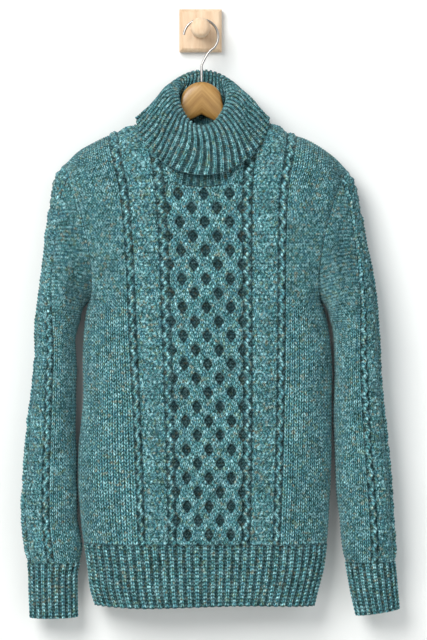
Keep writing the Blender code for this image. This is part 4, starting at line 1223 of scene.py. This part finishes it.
class Finish:
    """A material's nodes, with short ways to add and join them."""

    def __init__(self, name):
        self.material = bpy.data.materials.new(name)
        self.material.use_nodes = True
        self.nodes = self.material.node_tree.nodes
        self.shader = self.nodes["Principled BSDF"]

    def join(self, a, b):
        self.material.node_tree.links.new(a, b)

    def add(self, kind, values=(), **settings):
        return add_node(self.material.node_tree, kind, values, **settings)

    def give(self, **values):
        """Sets the shader's inputs, or links outputs to them; Base_Color is for Base Color."""
        for key, value in values.items():
            socket = self.shader.inputs[key.replace("_", " ")]
            if hasattr(value, "is_output"):
                self.join(value, socket)
            else:
                socket.default_value = value

    def math(self, operation, a, b=0.0):
        node = self.add("ShaderNodeMath", {0: a, 1: b}, operation=operation)
        return node.outputs[0]

    def ramp(self, fac, stops, constant=False):
        node = self.add("ShaderNodeValToRGB", {"Fac": fac})
        node.color_ramp.interpolation = "CONSTANT" if constant else "LINEAR"
        elements = node.color_ramp.elements
        while len(elements) < len(stops):
            elements.new(0.5)
        for element, (at, color) in zip(elements, stops):
            element.position = at
            element.color = (*color, 1.0)
        return node.outputs["Color"]

    def mix(self, fac, a, b, blend="MIX"):
        node = self.add("ShaderNodeMix", {0: fac, 6: a, 7: b}, data_type="RGBA", blend_type=blend)
        return node.outputs[2]


def wool(name, light=1.0):
    """Heathered worsted: teal with flecks of pale blue, olive, tan and dark green, with painted shade in the
    grooves, recesses and gaps between stitch legs, and painted highlight on the legs' crests.
    """
    f = Finish(name)
    where = f.add("ShaderNodeTexCoord").outputs["Object"]
    stitches = f.add("ShaderNodeUVMap", uv_map="stitches").outputs["UV"]
    relief = f.add("ShaderNodeAttribute", attribute_name="relief").outputs["Fac"]
    strand = f.add("ShaderNodeTexNoise", {
        "Vector": where, "Scale": 400.0, "Detail": 4.0, "Roughness": 0.7})
    base = f.ramp(strand.outputs["Fac"], [
        (0.39, (0.009 * light, 0.052 * light, 0.056 * light)),
        (0.47, (0.048 * light, 0.165 * light, 0.180 * light)),
        (0.53, (0.110 * light, 0.300 * light, 0.330 * light)),
        (0.61, (0.360 * light, 0.640 * light, 0.690 * light))])
    flecks = f.add("ShaderNodeTexVoronoi", {"Vector": where, "Scale": 290.0, "Randomness": 1.0})
    tone = f.add("ShaderNodeSeparateColor", {"Color": flecks.outputs["Color"]})
    tint = f.ramp(tone.outputs["Red"], [
        (0.0, (0.012, 0.055, 0.046)), (0.22, (0.060, 0.210, 0.235)), (0.55, (0.040, 0.160, 0.230)),
        (0.72, (0.290, 0.540, 0.590)), (0.88, (0.150, 0.215, 0.110)), (0.95, (0.290, 0.255, 0.160))], True)
    color = f.mix(0.45, base, tint)
    patches = f.add("ShaderNodeTexNoise", {"Vector": where, "Scale": 38.0, "Detail": 2.0})
    shade = f.ramp(patches.outputs["Fac"], [(0.35, (0.86, 0.86, 0.86)), (0.65, (1.12, 1.12, 1.10))])
    color = f.mix(1.0, color, shade, "MULTIPLY")
    # Painted shade and highlight from the stitch UV: dark in the gaps between the legs and between courses,
    # bright on the legs' crests.
    split = f.add("ShaderNodeSeparateXYZ", {"Vector": stitches})
    across = f.math("ABSOLUTE", f.math("SUBTRACT", f.math("FRACT", split.outputs["X"]), 0.5))
    leg = f.math("ABSOLUTE", f.math("SINE", f.math("MULTIPLY", across, 2 * math.pi)))
    slant = f.math("SUBTRACT", split.outputs["Y"], f.math("MULTIPLY", across, 1.3))
    loop = f.math("ABSOLUTE", f.math("SINE", f.math("MULTIPLY", slant, math.pi)))
    loop = f.math("ADD", 0.1, f.math("MULTIPLY", loop, 0.9))
    leg_shade_and_highlight = f.math("MULTIPLY", f.math("POWER", leg, 0.6), loop)
    leg_shade_and_highlight = f.add("ShaderNodeMapRange", {"Value": leg_shade_and_highlight, "To Min": 0.04, "To Max": 1.85}).outputs["Result"]
    # Painted shade: darker where the relief attribute is low, in purl grooves and honeycomb recesses, times
    # the painted leg shade and highlight.
    groove_painted_shade = f.add("ShaderNodeMapRange", {
        "Value": relief, "From Min": -1.2, "From Max": 0.3, "To Min": 0.25}).outputs["Result"]
    recess_painted_shade = f.add("ShaderNodeMapRange", {
        "Value": relief, "From Min": -3.0, "From Max": -0.6, "To Min": 0.75}).outputs["Result"]
    depth = f.math("MULTIPLY", f.math("MULTIPLY", groove_painted_shade, recess_painted_shade), leg_shade_and_highlight)
    painted_shade_color = f.add("ShaderNodeCombineColor", {"Red": depth, "Green": depth, "Blue": depth}).outputs["Color"]
    color = f.mix(1.0, color, painted_shade_color, "MULTIPLY")
    ply = f.math("SINE", f.math("MULTIPLY", f.math("SUBTRACT", split.outputs["Y"], across), 18.85))
    fuzz = f.add("ShaderNodeTexNoise", {"Vector": where, "Scale": 1400.0, "Detail": 3.0})
    bumps = f.math("ADD", f.math("MULTIPLY", ply, 0.25), fuzz.outputs["Fac"])
    bump = f.add("ShaderNodeBump", {"Height": bumps, "Strength": 0.5, "Distance": 0.0006})
    f.give(Base_Color=color, Normal=bump.outputs["Normal"], Roughness=0.95, Specular_IOR_Level=0.15,
           Sheen_Weight=0.22, Sheen_Roughness=0.5, Sheen_Tint=(0.55, 0.80, 0.85, 1.0))
    return f.material


def fibre_finish():
    f = Finish("wool fibre")
    f.give(Base_Color=(0.20, 0.42, 0.45, 1.0), Roughness=0.9, Specular_IOR_Level=0.1)
    return f.material


def wood(name, colors, roughness, lean=0.0, across=False, coat=0.0):
    """Straight grain: level lines that lean down to both sides, or upright lines across the width."""
    f = Finish(name)
    where = f.add("ShaderNodeSeparateXYZ", {"Vector": f.add("ShaderNodeTexCoord").outputs["Object"]})
    x, y, z = (where.outputs[axis] for axis in "XYZ")
    if across:
        run = f.math("ADD", x, f.math("MULTIPLY", z, 0.04))
    else:
        aside = f.math("ABSOLUTE", f.math("SUBTRACT", x, 0.002))
        run = f.math("ADD", z, f.math("MULTIPLY", aside, lean))
    line = f.add("ShaderNodeCombineXYZ", {"X": run, "Y": y, "Z": f.math("MULTIPLY", z, 0.12)})
    line = line.outputs["Vector"]
    grain = f.add("ShaderNodeTexNoise", {
        "Vector": line, "Scale": 260.0, "Detail": 5.0, "Roughness": 0.6}).outputs["Fac"]
    broad = f.add("ShaderNodeTexNoise", {"Vector": line, "Scale": 60.0, "Detail": 2.0}).outputs["Fac"]
    both = f.math("ADD", f.math("MULTIPLY", grain, 0.6), f.math("MULTIPLY", broad, 0.4))
    color = f.ramp(both, list(zip((0.36, 0.5, 0.64), colors)))
    bump = f.add("ShaderNodeBump", {"Height": both, "Strength": 0.15, "Distance": 0.0004})
    f.give(Base_Color=color, Normal=bump.outputs["Normal"], Roughness=roughness, Coat_Weight=coat,
           Coat_Roughness=0.2)
    return f.material


def steel():
    f = Finish("steel wire")
    f.give(Base_Color=(0.38, 0.37, 0.36, 1.0), Metallic=1.0, Roughness=0.28)
    return f.material


def wall_finish():
    """White wall that is clear from behind, so that the back can be looked at."""
    f = Finish("white wall")
    f.give(Base_Color=(0.88, 0.90, 0.90, 1.0), Roughness=0.9)
    side = f.add("ShaderNodeNewGeometry").outputs["Backfacing"]
    clear = f.add("ShaderNodeBsdfTransparent")
    both = f.add("ShaderNodeMixShader", {0: side, 1: f.shader.outputs[0], 2: clear.outputs[0]})
    f.join(both.outputs[0], f.nodes["Material Output"].inputs["Surface"])
    return f.material


def floor_finish():
    f = Finish("pale floor")
    f.give(Base_Color=(0.80, 0.79, 0.77, 1.0), Roughness=0.8)
    return f.material


# Stage, light and camera

def flat_plane(name, corners, material):
    mesh = bpy.data.meshes.new(name)
    mesh.from_pydata(corners, [], [(0, 1, 2, 3)])
    mesh.materials.append(material)
    obj = bpy.data.objects.new(name, mesh)
    bpy.context.scene.collection.objects.link(obj)


def area_light(name, place_at, look_at, size, power, color):
    data = bpy.data.lights.new(name, "AREA")
    data.shape = "RECTANGLE"
    data.size, data.size_y = size
    data.energy = power
    data.color = color
    obj = bpy.data.objects.new(name, data)
    obj.location = place_at
    way = np.array(look_at) - np.array(place_at)
    obj.rotation_euler = Vector(way).to_track_quat("-Z", "Y").to_euler()
    bpy.context.scene.collection.objects.link(obj)


def set_stage():
    w, y, floor = ROOM_HALF, WALL_PLANE, FLOOR_LEVEL
    flat_plane("room wall", [(-w, y, floor), (w, y, floor), (w, y, WALL_TOP), (-w, y, WALL_TOP)],
               wall_finish())
    flat_plane("room floor", [(-w, FLOOR_FRONT, floor), (w, FLOOR_FRONT, floor), (w, FLOOR_BACK, floor),
                              (-w, FLOOR_BACK, floor)], floor_finish())
    area_light("window", (-1.15, -2.3, 1.0), (0, 0, -0.35), (1.5, 1.8), 74.0, (1.0, 0.985, 0.96))
    area_light("room fill", (1.9, -2.6, 0.2), (0, 0, -0.45), (2.2, 2.2), 16.0, (0.95, 0.98, 1.0))
    world = bpy.data.worlds.new("soft room")
    world.use_nodes = True
    world.node_tree.nodes["Background"].inputs["Color"].default_value = (0.97, 0.985, 1.0, 1.0)
    world.node_tree.nodes["Background"].inputs["Strength"].default_value = 0.42
    bpy.context.scene.world = world


def set_camera():
    data = bpy.data.cameras.new("camera")
    data.sensor_fit = "VERTICAL"
    data.sensor_height = 24.0
    data.lens = CAMERA_LENS
    obj = bpy.data.objects.new("camera", data)
    obj.location = CAMERA_PLACE
    obj.rotation_euler = (math.radians(90), 0, 0)
    bpy.context.scene.collection.objects.link(obj)
    bpy.context.scene.camera = obj
    bpy.context.scene.view_settings.view_transform = "Standard"


def show(obj, node):
    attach(obj, "root")
    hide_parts(node)


# Flat cut of each cloth piece, in metres: width, length, area; then what it hangs from
CUTS = {
    "front_knit": ("front_panel", "wool_front", 0.40, 0.56, 0.190, ["hanger_wood"]),
    "back_knit": ("back_panel", "wool_back", 0.39, 0.56, 0.185, ["hanger_wood"]),
    "left_sleeve_knit": ("left_sleeve", "wool_sleeve", 0.40, 0.54, 0.130, ["front_knit"]),
    "right_sleeve_knit": ("right_sleeve", "wool_sleeve", 0.40, 0.54, 0.130, ["front_knit"]),
    "left_cuff_knit": ("left_cuff", "wool_rib", 0.165, 0.073, None, ["left_sleeve_knit"]),
    "right_cuff_knit": ("right_cuff", "wool_rib", 0.165, 0.073, None, ["right_sleeve_knit"]),
    "hem_front_knit": ("hem_rib_front", "wool_rib", 0.34, 0.082, None, ["front_knit"]),
    "hem_back_knit": ("hem_rib_back", "wool_rib", 0.34, 0.082, None, ["back_knit"]),
    "collar_knit": ("collar", "wool_collar", 0.32, 0.13, None, ["front_knit"]),
}


def main():
    teal = wool("teal wool")
    ribbing = wool("teal ribbing", 0.97)
    golden = wood("golden wood", ((0.30, 0.15, 0.035), (0.42, 0.235, 0.065), (0.52, 0.31, 0.10)), 0.38,
                  lean=1.1, coat=0.3)
    pale = wood("pale wood", ((0.66, 0.45, 0.28), (0.74, 0.54, 0.36), (0.80, 0.62, 0.44)), 0.5,
                across=True)
    front, front_edge = make_panel("front_knit", True, teal)
    back, back_edge = make_panel("back_knit", False, teal)
    left = make_sleeve("left_sleeve_knit", LEFT_SLEEVE, -1, teal, 41)
    right = make_sleeve("right_sleeve_knit", RIGHT_SLEEVE, 1, teal, 51)
    made = [front, back, left, right,
            make_cuff("left_cuff_knit", LEFT_CUFF, ribbing),
            make_cuff("right_cuff_knit", RIGHT_CUFF, ribbing),
            make_hem("hem_front_knit", True, ribbing),
            make_hem("hem_back_knit", False, ribbing),
            make_collar(ribbing)]
    band = make_neck_band(ribbing, front_edge, back_edge)
    fuzz = fibre_finish()
    fibres = {}
    for k, cloth in enumerate((front, left, right, made[-1])):
        fibres[cloth.name] = make_fibres(cloth, fuzz, FIBRES, 7 + 10 * k)
    for cloth in made:
        node, slot, width, length, area, above = CUTS[cloth.name]
        show(cloth, node)
        on_it = [fibres[cloth.name]] if cloth.name in fibres else []
        on_it += [band] if cloth.name == "collar_knit" else []
        for piece in on_it:
            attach(piece, "root")
    show(make_hanger(golden), "hanger")
    show(make_hook(steel()), "hanger_hook")
    show(make_knob(pale), "wall_knob")
    show(make_plate(pale), "wall_plate")
    set_stage()
    set_camera()


main()
